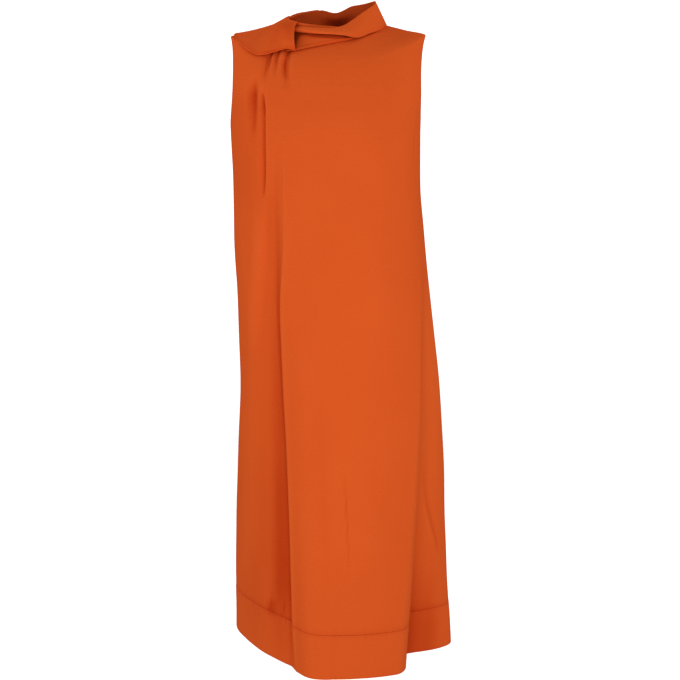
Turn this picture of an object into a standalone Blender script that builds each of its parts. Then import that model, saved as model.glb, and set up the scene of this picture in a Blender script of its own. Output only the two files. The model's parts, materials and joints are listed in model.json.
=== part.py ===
"""Tent dress: sleeveless, falling from the shoulders to a deep hem band, with a draped collar.

Metres, +Z up. The front faces -Y and +X is the viewer's right. The origin lies midway between the
shoulder tips, at their height, where the shoulders of whoever wears the dress carry it.
"""

import math

import bpy
import numpy as np

# Walls and seams
CREPE = 0.0016  # one layer of heavy crepe
DOUBLED_CREPE = 0.0024  # two layers, in the collar and the hem bands
SEAM_GAP = 0.0003  # between the walls of two pieces that are sewn together
FLAP_EASE = 0.0003  # what the flap needs more where it turns over the collar band

# Driving heights, along the side of the dress
HEM_LEVEL = -1.165
BAND_HEIGHT = 0.080
BAND_LEVEL = HEM_LEVEL + BAND_HEIGHT
UNDERARM_LEVEL = -0.175
TIP_LEVEL = 0.0  # the shoulder tip
NECK_LEVEL = 0.060

# Half width of the armhole on each panel, measured round the body from the side
ARMHOLE_FRONT = 0.074
ARMHOLE_BACK = 0.060

# How finely the panels are divided
SKIRT_ROWS = 18
ARMHOLE_ROWS = 10
SHOULDER_ROWS = 5
BAND_ROWS = 3
RIGHT_COLUMNS = 12  # from the right side to the crest of the right fold
CENTRE_COLUMNS = 14  # between the crests of the two long folds
DRAPE_COLUMNS = 12  # from the crest of the main fold to the upper crease
LEFT_COLUMNS = 9  # from the upper crease to the left side
BACK_COLUMNS = 24
RING_STEPS = 240  # points on half a ring before it is divided evenly
NUDGE = 0.0006  # how far a surface point is moved to find its normal

# Plan of the body: where each ring meets the right side, the front, the left side and the back
PLAN_COLUMNS = (
    "level", "right_x", "right_y", "front_x", "front_y", "left_x", "left_y", "back_x", "back_y",
)
PLAN = (
    (-1.1650, 0.2360, 0.044, 0.000, -0.1830, -0.1870, 0.118, 0.020, 0.205),
    (-0.9550, 0.2260, 0.036, 0.010, -0.1730, -0.1830, 0.090, 0.015, 0.186),
    (-0.8000, 0.2200, 0.030, 0.018, -0.1660, -0.1770, 0.070, 0.012, 0.168),
    (-0.6430, 0.2090, 0.025, 0.024, -0.1590, -0.1700, 0.052, 0.010, 0.152),
    (-0.4900, 0.1910, 0.020, 0.028, -0.1530, -0.1730, 0.038, 0.008, 0.136),
    (-0.3660, 0.1780, 0.015, 0.024, -0.1480, -0.1780, 0.028, 0.006, 0.125),
    (-0.2700, 0.1700, 0.012, 0.018, -0.1440, -0.1800, 0.021, 0.004, 0.119),
    (-0.1750, 0.1690, 0.010, 0.012, -0.1380, -0.1810, 0.015, 0.003, 0.115),
    (-0.0875, 0.1750, 0.010, 0.006, -0.1260, -0.1800, 0.012, 0.002, 0.110),
    (0.0000, 0.1770, 0.010, 0.003, -0.1080, -0.1780, 0.010, 0.000, 0.098),
    (0.0300, 0.1420, 0.010, 0.002, -0.0980, -0.1390, 0.010, 0.000, 0.089),
    (0.0600, 0.1040, 0.010, 0.002, -0.0880, -0.1000, 0.010, 0.000, 0.080),
)

# Heights of the same rings, how square each quarter is, and how sharply a ring dips from its sides
RISE_COLUMNS = (
    "level", "right_z", "front_z", "left_z", "back_z",
    "square_front_right", "square_front_left", "square_back", "dip",
)
RISE = (
    (-1.1650, -1.1650, -1.1680, -1.1600, -1.165, 2.30, 1.50, 2.20, 2.0),
    (-0.9550, -0.9550, -0.9570, -0.9510, -0.955, 2.25, 1.65, 2.25, 2.0),
    (-0.8000, -0.8000, -0.8010, -0.7980, -0.800, 2.25, 1.80, 2.30, 2.0),
    (-0.6430, -0.6430, -0.6430, -0.6430, -0.643, 2.30, 2.00, 2.35, 2.0),
    (-0.4900, -0.4900, -0.4900, -0.4900, -0.490, 2.45, 2.35, 2.45, 2.0),
    (-0.3660, -0.3660, -0.3650, -0.3660, -0.365, 2.60, 2.50, 2.50, 2.0),
    (-0.2700, -0.2700, -0.2680, -0.2700, -0.268, 2.80, 2.70, 2.55, 2.0),
    (-0.1750, -0.1750, -0.1700, -0.1750, -0.170, 3.10, 3.00, 2.60, 2.0),
    (-0.0875, -0.0875, -0.1120, -0.0875, -0.088, 3.00, 3.00, 2.50, 1.9),
    (0.0000, 0.0000, -0.0520, -0.0020, -0.022, 2.40, 2.40, 2.30, 1.8),
    (0.0300, 0.0095, -0.0310, 0.0040, -0.006, 2.15, 2.15, 2.15, 1.6),
    (0.0600, 0.0190, -0.0150, 0.0100, 0.008, 2.00, 2.00, 2.00, 1.4),
)

# Folds: where the crest runs, how deep the valley beside it is, how soon the valley's bottom comes
# (rise), how far the cloth takes to come back from there (run), and how crisp the crest is, 0 to 1
FOLD_COLUMNS = ("level", "x", "depth", "rise", "run", "crisp")
MAIN_FOLD = (
    (-1.165, -0.0550, 0.022, 0.034, 0.260, 0.5),
    (-0.955, -0.0630, 0.024, 0.030, 0.180, 0.6),
    (-0.800, -0.0690, 0.024, 0.026, 0.130, 0.7),
    (-0.643, -0.0785, 0.021, 0.024, 0.090, 0.7),
    (-0.490, -0.0845, 0.017, 0.022, 0.075, 0.7),
    (-0.366, -0.0795, 0.012, 0.020, 0.060, 0.6),
    (-0.270, -0.0805, 0.006, 0.018, 0.050, 0.5),
    (-0.210, -0.0810, 0.000, 0.016, 0.040, 0.5),
)
FRONT_RIDGE = (
    (-1.165, -0.0300, -0.010, 0.045, 0.045, 0.0),
    (-0.800, -0.0420, -0.005, 0.040, 0.040, 0.0),
    (-0.520, -0.0550, 0.000, 0.036, 0.036, 0.0),
)
RIGHT_FOLD = (
    (-1.165, 0.1220, 0.070, 0.105, 0.120, 0.0),
    (-0.955, 0.1440, 0.055, 0.088, 0.110, 0.0),
    (-0.800, 0.1560, 0.040, 0.070, 0.095, 0.0),
    (-0.643, 0.1640, 0.021, 0.050, 0.075, 0.0),
    (-0.490, 0.1660, 0.006, 0.034, 0.050, 0.0),
    (-0.400, 0.1620, 0.000, 0.030, 0.040, 0.0),
)
UPPER_CREASE = (
    (-0.300, -0.1130, 0.000, 0.006, 0.030, 1.0),
    (-0.250, -0.1120, 0.005, 0.006, 0.030, 1.0),
    (-0.190, -0.1116, 0.007, 0.006, 0.028, 1.0),
    (-0.120, -0.1116, 0.006, 0.006, 0.026, 1.0),
    (-0.080, -0.1110, 0.000, 0.006, 0.024, 1.0),
)
SHOULDER_VALLEY = (
    (-0.210, -0.1350, 0.000, 0.014, 0.014, 0.0),
    (-0.150, -0.1330, 0.004, 0.014, 0.014, 0.0),
    (-0.100, -0.1310, 0.004, 0.013, 0.013, 0.0),
    (-0.050, -0.1280, 0.000, 0.012, 0.012, 0.0),
)
HIP_RIDGE = (
    (-0.620, -0.1450, 0.000, 0.026, 0.026, 0.0),
    (-0.500, -0.1400, -0.004, 0.026, 0.026, 0.0),
    (-0.360, -0.1280, -0.004, 0.024, 0.024, 0.0),
    (-0.260, -0.1240, 0.000, 0.022, 0.022, 0.0),
)
OUTER_PLEAT = (
    (-0.075, -0.1100, 0.000, 0.009, 0.009, 0.0),
    (-0.040, -0.1090, 0.006, 0.008, 0.008, 0.0),
    (0.000, -0.1060, 0.007, 0.008, 0.008, 0.0),
    (0.060, -0.0860, 0.006, 0.005, 0.005, 0.0),
)
MIDDLE_PLEAT = (
    (-0.058, -0.0955, 0.000, 0.008, 0.008, 0.0),
    (-0.030, -0.0950, 0.005, 0.007, 0.007, 0.0),
    (0.000, -0.0920, 0.006, 0.007, 0.007, 0.0),
    (0.060, -0.0740, 0.005, 0.005, 0.005, 0.0),
)
INNER_PLEAT = (
    (-0.120, -0.0725, 0.000, 0.012, 0.012, 0.0),
    (-0.080, -0.0740, 0.004, 0.011, 0.011, 0.0),
    (-0.020, -0.0755, 0.007, 0.009, 0.009, 0.0),
    (0.060, -0.0600, 0.005, 0.006, 0.006, 0.0),
)
BACK_LEFT_FOLD = (
    (-1.165, -0.0850, 0.036, 0.060, 0.060, 0.0),
    (-0.800, -0.0780, 0.020, 0.052, 0.052, 0.0),
    (-0.490, -0.0720, 0.008, 0.044, 0.044, 0.0),
    (-0.280, -0.0700, 0.000, 0.038, 0.038, 0.0),
)
BACK_CENTRE_FOLD = (
    (-1.165, 0.0300, 0.016, 0.040, 0.040, 0.0),
    (-0.850, 0.0240, 0.008, 0.036, 0.036, 0.0),
    (-0.560, 0.0200, 0.000, 0.032, 0.032, 0.0),
)
BACK_RIGHT_FOLD = (
    (-1.165, 0.1300, 0.042, 0.062, 0.062, 0.0),
    (-0.760, 0.1080, 0.022, 0.054, 0.054, 0.0),
    (-0.440, 0.0920, 0.008, 0.044, 0.044, 0.0),
    (-0.240, 0.0850, 0.000, 0.038, 0.038, 0.0),
)

# What each half of the body is folded by. Towards says on which side of its crest a valley lies:
# 1 on along the ring, -1 back along it, 0 evenly about the line
FRONT_FOLDS = (
    (MAIN_FOLD, 1), (FRONT_RIDGE, 0), (RIGHT_FOLD, -1), (UPPER_CREASE, 1), (SHOULDER_VALLEY, 0),
    (HIP_RIDGE, 0), (OUTER_PLEAT, 0), (MIDDLE_PLEAT, 0), (INNER_PLEAT, 0),
)
BACK_FOLDS = ((BACK_LEFT_FOLD, 0), (BACK_CENTRE_FOLD, 0), (BACK_RIGHT_FOLD, 0))

# The columns of the front panel's mesh that follow a crest or crease all the way up
GUIDE_COLUMNS = ("level", "right_crest_x", "main_crest_x", "crease_x")
GUIDES = (
    (-1.165, 0.1220, -0.0550, -0.1260),
    (-0.955, 0.1440, -0.0630, -0.1280),
    (-0.800, 0.1560, -0.0690, -0.1280),
    (-0.643, 0.1640, -0.0785, -0.1280),
    (-0.490, 0.1620, -0.0845, -0.1240),
    (-0.366, 0.1520, -0.0795, -0.1160),
    (-0.270, 0.1400, -0.0780, -0.1125),
    (-0.175, 0.1300, -0.0740, -0.1116),
    (-0.0875, 0.1220, -0.0680, -0.1150),
    (0.000, 0.1100, -0.0620, -0.1170),
    (0.060, 0.0700, -0.0500, -0.0920),
)

# The collar band winds once round the neck and overlaps itself at the front. Turn is the angle
# from the right side, by the front. Out and up are from the neckline.
BAND_COLUMNS = ("turn", "base_out", "base_up", "top_out", "top_up", "bulge")
COLLAR_BAND = (
    (70.0, -0.0030, 0.0030, -0.0120, 0.0225, 0.000),
    (90.0, -0.0030, 0.0020, -0.0130, 0.0280, 0.001),
    (127.0, -0.0020, 0.0018, -0.0010, 0.0290, 0.002),
    (150.0, -0.0014, 0.0024, -0.0180, 0.0295, 0.003),
    (180.0, -0.0008, 0.0008, -0.0350, 0.0225, 0.003),
    (210.0, -0.0008, 0.0008, -0.0260, 0.0270, 0.003),
    (240.0, -0.0008, 0.0008, -0.0140, 0.0345, 0.002),
    (262.0, -0.0008, 0.0008, -0.0120, 0.0400, 0.002),
    (277.0, -0.0008, 0.0008, -0.0110, 0.0370, 0.002),
    (300.0, -0.0008, 0.0008, -0.0140, 0.0480, 0.002),
    (330.0, -0.0008, 0.0008, -0.0200, 0.0460, 0.002),
    (360.0, -0.0008, 0.0008, -0.0225, 0.0430, -0.001),
    (382.0, -0.0008, 0.0008, -0.0175, 0.0440, 0.000),
    (405.0, 0.0014, 0.0026, -0.0185, 0.0405, 0.002),
    (420.0, 0.0048, 0.0012, -0.0160, 0.0345, 0.003),
    (437.0, 0.0070, 0.0090, -0.0080, 0.0260, 0.003),
    (450.0, 0.0085, 0.0125, -0.0030, 0.0230, 0.003),
    (470.0, 0.0095, 0.0135, 0.0040, 0.0228, 0.003),
    (487.0, 0.0100, 0.0125, 0.0050, 0.0205, 0.003),
    (498.0, 0.0105, 0.0110, 0.0060, 0.0180, 0.003),
)
COLLAR_STATIONS = 64
COLLAR_ROWS = 5

# The fall starts behind the band's outer end and turns down over the neckline to a rim that lies
# on the body: at rim turn and rim level, lifted off it
FALL_COLUMNS = (
    "turn", "top_out", "top_up", "neck_out", "neck_up", "rim_turn", "rim_level", "lift",
)
COLLAR_FALL = (
    (70.0, 0.0010, 0.0065, 0.0035, 0.0035, 69.0, 0.058, 0.0022),
    (80.0, 0.0015, 0.0115, 0.0050, 0.0040, 79.0, 0.056, 0.0023),
    (90.0, 0.0020, 0.0145, 0.0065, 0.0045, 90.0, 0.050, 0.0025),
    (104.0, 0.0030, 0.0155, 0.0095, 0.0030, 99.0, 0.039, 0.0040),
    (118.0, 0.0040, 0.0155, 0.0125, 0.0015, 106.0, 0.029, 0.0045),
    (130.0, 0.0040, 0.0145, 0.0135, 0.0005, 111.0, 0.020, 0.0045),
    (138.0, 0.0040, 0.0125, 0.0135, 0.0005, 115.0, 0.016, 0.0045),
)
FALL_STATIONS = 22
FALL_ROWS = 6

# The flap hangs from the outside of the band's top edge over the left shoulder, from its finished
# front end round to the back. Its rim lies on the body as the fall's does
FLAP_COLUMNS = ("turn", "rim_turn", "rim_level", "lift", "bulge")
COLLAR_FLAP = (
    (127.0, 111.0, 0.018, 0.0070, 0.012),
    (133.0, 116.0, 0.017, 0.0070, 0.012),
    (140.0, 119.5, 0.006, 0.0065, 0.012),
    (150.0, 125.0, -0.006, 0.0060, 0.011),
    (160.0, 131.5, -0.013, 0.0055, 0.010),
    (168.0, 139.5, -0.011, 0.0050, 0.008),
    (175.0, 148.0, -0.005, 0.0040, 0.003),
    (181.0, 161.0, 0.004, 0.0036, -0.0025),
    (187.0, 180.0, 0.009, 0.0032, -0.0055),
    (195.0, 197.0, 0.008, 0.0029, -0.006),
    (205.0, 211.0, 0.004, 0.0032, -0.005),
    (218.0, 225.0, 0.008, 0.0045, -0.001),
    (232.0, 233.0, 0.022, 0.0060, 0.003),
    (246.0, 241.0, 0.042, 0.0070, 0.003),
    (258.0, 253.0, 0.058, 0.0090, 0.002),
)
FLAP_STATIONS = 34
FLAP_ROWS = 9

UP = np.array([0.0, 0.0, 1.0])
CREPE_COLOUR = (0.672, 0.098, 0.014, 1.0)
CREPE_ROUGHNESS = 0.78


def smooth_rows(table, names, at):
    """Columns of a table at new values of its first, on smooth curves that never overshoot a row."""
    rows = np.array(sorted(table), float)
    key = rows[:, 0]
    span = np.diff(key)[:, None]
    rise = np.diff(rows, axis=0) / span
    before, after = rise[:-1], rise[1:]
    same_way = before * after > 0
    weight_before, weight_after = span[:-1] + 2 * span[1:], 2 * span[:-1] + span[1:]
    share_before = weight_before / np.where(same_way, before, 1.0)
    share_after = weight_after / np.where(same_way, after, 1.0)
    mean = (weight_before + weight_after) / (share_before + share_after)
    slopes = np.concatenate([rise[:1], np.where(same_way, mean, 0.0), rise[-1:]])
    at = np.clip(np.atleast_1d(np.asarray(at, float)), key[0], key[-1])
    i = np.clip(np.searchsorted(key, at, side="right") - 1, 0, len(key) - 2)
    step = (key[i + 1] - key[i])[:, None]
    t = (at - key[i])[:, None] / step
    values = (
        (2 * t**3 - 3 * t**2 + 1) * rows[i]
        + (t**3 - 2 * t**2 + t) * step * slopes[i]
        + (3 * t**2 - 2 * t**3) * rows[i + 1]
        + (t**3 - t**2) * step * slopes[i + 1]
    )
    return dict(zip(names, values.T))


def ring_points(level, turn):
    """Points of the unfolded body at a level, at angles from the right side by the front."""
    plan = {k: v[0] for k, v in smooth_rows(PLAN, PLAN_COLUMNS, level).items()}
    rise = {k: v[0] for k, v in smooth_rows(RISE, RISE_COLUMNS, level).items()}
    turn = np.radians(np.asarray(turn, float))
    across, along = np.cos(turn), np.sin(turn)
    right, front = across >= 0, along >= 0
    square_front = np.where(right, rise["square_front_right"], rise["square_front_left"])
    square = np.where(front, square_front, rise["square_back"])
    side_x = np.where(right, plan["right_x"], plan["left_x"])
    side_y = np.where(right, plan["right_y"], plan["left_y"])
    side_z = np.where(right, rise["right_z"], rise["left_z"])
    end_x = np.where(front, plan["front_x"], plan["back_x"])
    end_y = np.where(front, plan["front_y"], plan["back_y"])
    end_z = np.where(front, rise["front_z"], rise["back_z"])
    across, along = np.abs(across), np.abs(along)
    x = end_x + (side_x - end_x) * across ** (2 / square)
    y = side_y + (end_y - side_y) * along ** (2 / square)
    z = side_z + (end_z - side_z) * along ** rise["dip"]
    return np.stack([x, y, z], axis=-1)


def half_ring(half, level):
    """Half a ring, from one side to the other: shares of its length, points and length."""
    start = 0.0 if half == "front" else 180.0
    points = ring_points(level, np.linspace(start, start + 180.0, 2 * RING_STEPS + 1))
    along = np.concatenate([[0.0], np.cumsum(np.linalg.norm(np.diff(points, axis=0), axis=1))])
    return along / along[-1], points, along[-1]


def share_at_x(half, level, x):
    """Where along half a ring its points have a given x."""
    shares, points, _ = half_ring(half, level)
    order = -1 if half == "front" else 1
    return np.interp(x, points[::order, 0], shares[::order])


def valley(distance, rise, run, crisp):
    """How deep in a valley a point is, 0 to 1: down over the rise, and back up over the run."""
    down = np.clip(distance / rise, 0.0, 1.0)
    back = np.clip((distance - rise) / run, 0.0, 1.0)
    fall = crisp * np.sin(down * math.pi / 2) + (1 - crisp) * down**2 * (3 - 2 * down)
    return fall * (1 - back**2 * (3 - 2 * back))


def body_row(half, level, shares):
    """Points of the folded body at a level, at shares of half its ring."""
    ring_shares, ring, length = half_ring(half, level)
    points = np.stack([np.interp(shares, ring_shares, ring[:, k]) for k in range(3)], axis=-1)
    tangent = np.gradient(ring[:, :2], axis=0)
    tangent = np.stack([np.interp(shares, ring_shares, tangent[:, k]) for k in range(2)], axis=-1)
    tangent /= np.linalg.norm(tangent, axis=-1, keepdims=True)
    outward = np.stack([-tangent[:, 1], tangent[:, 0]], axis=-1)
    depth = np.zeros(len(shares))
    for table, towards in FRONT_FOLDS if half == "front" else BACK_FOLDS:
        fold = {k: v[0] for k, v in smooth_rows(table, FOLD_COLUMNS, level).items()}
        distance = (shares - share_at_x(half, level, fold["x"])) * length
        distance = distance * towards if towards else distance + fold["rise"]
        depth += fold["depth"] * valley(distance, fold["rise"], fold["run"], fold["crisp"])
    points[:, :2] -= outward * depth[:, None]
    return points


def edge_share(half, level):
    """Share of half a ring taken by the seam's gap and, beside the arm, by the armhole."""
    length = half_ring(half, level)[2]
    middle = (TIP_LEVEL + UNDERARM_LEVEL) / 2
    off_middle = (level - middle) / (TIP_LEVEL - middle)
    width = ARMHOLE_FRONT if half == "front" else ARMHOLE_BACK
    return (SEAM_GAP / 2 + width * math.sqrt(max(0.0, 1.0 - off_middle**2))) / length


def front_columns(level):
    """Shares of the front panel's columns at a level, evenly between its edges and guides."""
    edge = edge_share("front", level)
    guide = smooth_rows(GUIDES, GUIDE_COLUMNS, level)
    right_crest = share_at_x("front", level, guide["right_crest_x"])[0]
    main_crest = share_at_x("front", level, guide["main_crest_x"])[0]
    crease = share_at_x("front", level, guide["crease_x"])[0]
    return np.concatenate([
        np.linspace(edge, right_crest, RIGHT_COLUMNS + 1)[:-1],
        np.linspace(right_crest, main_crest, CENTRE_COLUMNS + 1)[:-1],
        np.linspace(main_crest, crease, DRAPE_COLUMNS + 1)[:-1],
        np.linspace(crease, 1 - edge, LEFT_COLUMNS + 1),
    ])


def back_columns(level):
    """Shares of the back panel's columns at a level."""
    edge = edge_share("back", level)
    return np.linspace(edge, 1 - edge, BACK_COLUMNS + 1)


def body_grid(half, levels):
    """Grid of points and outward normals for a panel or band of the body."""
    columns = front_columns if half == "front" else back_columns
    points, normals = [], []
    for level in levels:
        shares = columns(level)
        step = NUDGE / half_ring(half, level)[2]
        row = body_row(half, level, shares)
        along = body_row(half, level, shares + step) - body_row(half, level, shares - step)
        up = body_row(half, level + NUDGE, shares) - body_row(half, level - NUDGE, shares)
        normal = np.cross(up, along)
        points.append(row)
        normals.append(normal / np.linalg.norm(normal, axis=1, keepdims=True))
    return np.array(points), np.array(normals)


def panel_levels():
    """Levels of a panel's rows, closer together where the armhole turns in."""
    skirt = np.linspace(BAND_LEVEL + SEAM_GAP / 2, UNDERARM_LEVEL, SKIRT_ROWS + 1)[:-1]
    swing = np.cos(np.linspace(math.pi, 0, ARMHOLE_ROWS + 1))[:-1]
    armhole = (UNDERARM_LEVEL + TIP_LEVEL) / 2 + (TIP_LEVEL - UNDERARM_LEVEL) / 2 * swing
    shoulder = np.linspace(TIP_LEVEL, NECK_LEVEL, SHOULDER_ROWS + 1)
    return np.concatenate([skirt, armhole, shoulder])


def band_levels():
    """Levels of a hem band's rows."""
    return np.linspace(HEM_LEVEL, BAND_LEVEL - SEAM_GAP / 2, BAND_ROWS + 1)


def grid_normals(points):
    """Unit normals of a grid of points, from its own rows and columns."""
    normal = np.cross(np.gradient(points, axis=0), np.gradient(points, axis=1))
    return normal / np.linalg.norm(normal, axis=-1, keepdims=True)


def neckline(turn):
    """Points of the neckline and the level direction straight out from it."""
    points = ring_points(NECK_LEVEL, turn)
    ahead, behind = ring_points(NECK_LEVEL, turn + 0.5), ring_points(NECK_LEVEL, turn - 0.5)
    tangent = (ahead - behind)[:, :2]
    outward = np.stack([-tangent[:, 1], tangent[:, 0], np.zeros(len(turn))], axis=-1)
    return points, outward / np.linalg.norm(outward, axis=-1, keepdims=True)


def from_neckline(turn, out, up):
    """Points that lie out and up from the neckline."""
    points, outward = neckline(turn)
    return points + outward * out[:, None] + UP * up[:, None]


def through_three(first, middle, last, rows):
    """Grid on the smooth curves through three edges of a strip."""
    t = np.linspace(0, 1, rows + 1)[:, None, None]
    return first * (1 - t) * (1 - 2 * t) + middle * 4 * t * (1 - t) + last * t * (2 * t - 1)


def collar_band_grid(turn):
    """Grid of the collar band at these turns, from its base to its top edge."""
    row = smooth_rows(COLLAR_BAND, BAND_COLUMNS, turn)
    base = from_neckline(turn, row["base_out"], row["base_up"])
    top = from_neckline(turn, row["top_out"], row["top_up"])
    middle = (base + top) / 2 + neckline(turn)[1] * row["bulge"][:, None]
    return through_three(base, middle, top, COLLAR_ROWS)


def off_body(turn, level, lift):
    """Points lifted straight off the unfolded body, one for each turn and level."""
    points = []
    for t, at, away in zip(turn, level, lift):
        along = ring_points(at, t + 1.0) - ring_points(at, t - 1.0)
        up = ring_points(at + NUDGE, t) - ring_points(at - NUDGE, t)
        normal = np.cross(up, along)
        points.append(ring_points(at, t) + normal / np.linalg.norm(normal) * away)
    return np.array(points)


def collar_fall_grid():
    """Grid of the collar fall, from behind the band to its rim."""
    turn = np.linspace(COLLAR_FALL[0][0], COLLAR_FALL[-1][0], FALL_STATIONS + 1)
    row = smooth_rows(COLLAR_FALL, FALL_COLUMNS, turn)
    top = from_neckline(turn, row["top_out"], row["top_up"])
    middle = from_neckline(turn, row["neck_out"], row["neck_up"])
    rim = off_body(row["rim_turn"], row["rim_level"], row["lift"])
    return through_three(top, middle, rim, FALL_ROWS)


def collar_flap_grid():
    """Grid of the collar flap, from the outside of the band's top edge to its rim."""
    turn = np.linspace(COLLAR_FLAP[0][0], COLLAR_FLAP[-1][0], FLAP_STATIONS + 1)
    row = smooth_rows(COLLAR_FLAP, FLAP_COLUMNS, turn)
    band = collar_band_grid(turn)
    top = band[-1] + (DOUBLED_CREPE + SEAM_GAP + FLAP_EASE) * grid_normals(band)[-1]
    rim = off_body(row["rim_turn"], row["rim_level"], row["lift"])
    lift = neckline(turn)[1] + UP
    middle = (top + rim) / 2 + lift * row["bulge"][:, None] / math.sqrt(2)
    return through_three(top, middle, rim, FLAP_ROWS)


def crepe(name):
    """Matte orange crepe."""
    material = bpy.data.materials.new(name)
    material.use_nodes = True
    shader = material.node_tree.nodes["Principled BSDF"]
    shader.inputs["Base Color"].default_value = CREPE_COLOUR
    shader.inputs["Roughness"].default_value = CREPE_ROUGHNESS
    shader.inputs["Metallic"].default_value = 0.0
    return material


def make_wall(name, points, normals, thickness):
    """A closed wall of cloth on a grid of points, half its thickness to each side."""
    rows, columns = points.shape[:2]
    outer = (points + normals * thickness / 2).reshape(-1, 3)
    inner = (points - normals * thickness / 2).reshape(-1, 3)
    count = rows * columns
    faces = []
    for i in range(rows - 1):
        for j in range(columns - 1):
            a, b = i * columns + j, i * columns + j + 1
            c, d = b + columns, a + columns
            faces.append((a, b, c, d))
            faces.append((count + d, count + c, count + b, count + a))
    rim = list(range(columns))
    rim += [i * columns + columns - 1 for i in range(1, rows)]
    rim += [(rows - 1) * columns + j for j in range(columns - 2, -1, -1)]
    rim += [i * columns for i in range(rows - 2, 0, -1)]
    for a, b in zip(rim, rim[1:] + rim[:1]):
        faces.append((b, a, count + a, count + b))
    corners = np.concatenate([outer, inner])
    volume = sum(
        np.dot(corners[f[0]], np.cross(corners[f[1]], corners[f[2]]))
        + np.dot(corners[f[0]], np.cross(corners[f[2]], corners[f[3]]))
        for f in faces
    )
    if volume < 0:
        faces = [f[::-1] for f in faces]
    mesh = bpy.data.meshes.new(name)
    mesh.from_pydata(corners.tolist(), [], faces)
    mesh.shade_smooth()
    mesh.set_sharp_from_angle(angle=math.radians(50))
    mesh.materials.append(crepe(name + "_crepe"))
    piece = bpy.data.objects.new(name, mesh)
    bpy.context.scene.collection.objects.link(piece)
    return piece


def make_dress():
    """Every piece of the dress."""
    make_wall("front_panel", *body_grid("front", panel_levels()), CREPE)
    make_wall("back_panel", *body_grid("back", panel_levels()), CREPE)
    make_wall("hem_band_front", *body_grid("front", band_levels()), DOUBLED_CREPE)
    make_wall("hem_band_back", *body_grid("back", band_levels()), DOUBLED_CREPE)
    band_turns = np.linspace(COLLAR_BAND[0][0], COLLAR_BAND[-1][0], COLLAR_STATIONS + 1)
    for name, grid, thickness in (
        ("collar_band", collar_band_grid(band_turns), DOUBLED_CREPE),
        ("collar_fall", collar_fall_grid(), CREPE),
        ("collar_flap", collar_flap_grid(), DOUBLED_CREPE),
    ):
        make_wall(name, grid, grid_normals(grid), thickness)


for leftover in list(bpy.data.objects):
    bpy.data.objects.remove(leftover)
make_dress()
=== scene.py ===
"""Tent dress: the finished look of a sleeveless crepe dress with a draped collar and a hem band.

Metres, +Z up. The front faces -Y and +X is the viewer's right. Laid out as an add-on: its panel in
the 3D view's sidebar lists one operator for each group of pieces and one for the stage.
"""

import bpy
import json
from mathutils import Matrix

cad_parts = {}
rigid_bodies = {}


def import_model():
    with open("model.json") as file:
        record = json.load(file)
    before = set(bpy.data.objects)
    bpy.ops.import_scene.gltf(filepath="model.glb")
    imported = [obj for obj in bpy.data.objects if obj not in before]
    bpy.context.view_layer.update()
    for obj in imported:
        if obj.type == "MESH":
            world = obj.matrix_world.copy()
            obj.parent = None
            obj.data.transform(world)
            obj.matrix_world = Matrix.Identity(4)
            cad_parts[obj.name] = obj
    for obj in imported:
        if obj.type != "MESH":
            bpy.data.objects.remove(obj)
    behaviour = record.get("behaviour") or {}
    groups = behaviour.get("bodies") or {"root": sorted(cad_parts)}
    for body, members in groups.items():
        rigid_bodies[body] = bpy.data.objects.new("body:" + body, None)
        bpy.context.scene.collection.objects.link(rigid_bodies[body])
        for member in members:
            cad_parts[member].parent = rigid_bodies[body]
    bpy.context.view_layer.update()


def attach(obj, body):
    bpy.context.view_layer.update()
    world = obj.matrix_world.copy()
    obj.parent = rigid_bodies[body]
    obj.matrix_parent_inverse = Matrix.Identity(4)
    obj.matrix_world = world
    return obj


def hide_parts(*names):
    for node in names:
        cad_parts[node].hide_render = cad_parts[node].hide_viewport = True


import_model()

import json
import math

import bpy
import numpy as np
from bpy.props import FloatProperty, FloatVectorProperty, PointerProperty
from mathutils.bvhtree import BVHTree

bl_info = {
    "name": "Tent Dress",
    "version": (1, 0, 0),
    "blender": (4, 5, 0),
    "location": "3D View > Sidebar > Dress",
    "description": "Makes a sleeveless crepe tent dress with a draped collar",
    "category": "Object",
}

# Driving heights, along the side of the dress
HEM_LEVEL = -1.165
BAND_LEVEL = -1.085
UNDERARM_LEVEL = -0.175
TIP_LEVEL = 0.0
NECK_LEVEL = 0.060

# Half width of the armhole on each panel, measured round the body from the side
ARMHOLE_FRONT = 0.074
ARMHOLE_BACK = 0.060

# How finely the cloth is divided. The front's columns are counted from the right side to the right
# crest, from there to the main crest, to the upper crease and to the left side
SKIRT_ROWS = 120
ARMHOLE_ROWS = 52
SHOULDER_ROWS = 26
BAND_ROWS = 26
FRONT_COLUMNS = (52, 62, 62, 40)
BACK_COLUMNS = 160
RING_STEPS = 320
COLLAR_STATIONS = 300
COLLAR_ROWS = 18
FALL_STATIONS = 110
FALL_ROWS = 26
FLAP_STATIONS = 170
FLAP_ROWS = 44

UP = np.array([0.0, 0.0, 1.0])

# How far to either side of a point the cloth is looked at to tell how hollow it is there, and how
# much that counts
HOLLOW_REACH = (0.0035, 0.009, 0.020)
HOLLOW_GAIN = 3.0

# Cloth shelters a point within the first reach, and there the colour takes painted shade. Within
# the second, the more ways out meet cloth, and the sooner, the further a point is inside the dress,
# and the more painted shade it takes. So many ways are tried, from so far off the surface, on one
# row and column in so many
SHELTER_REACH = 0.060
INSIDE_REACH = 0.600
SHELTER_RAYS = 36
SHELTER_START = 0.0004
SHELTER_STEP = 3
GOLDEN_ANGLE = math.pi * (3 - math.sqrt(5))

# The cloth's edge is rounded: shares of half its thickness in from the edge, how thick it is there,
# and the most of the way to the next line that a rounded line may take
RIM_IN = (0.06, 0.3, 1.0)
RIM_THICK = (0.0, 0.35, 0.72, 1.0)
RIM_LIMIT = 0.8

# What is stored on the points of the cloth besides its lengths
MARKS = ("from_side", "from_end", "hollow", "shade")
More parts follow.
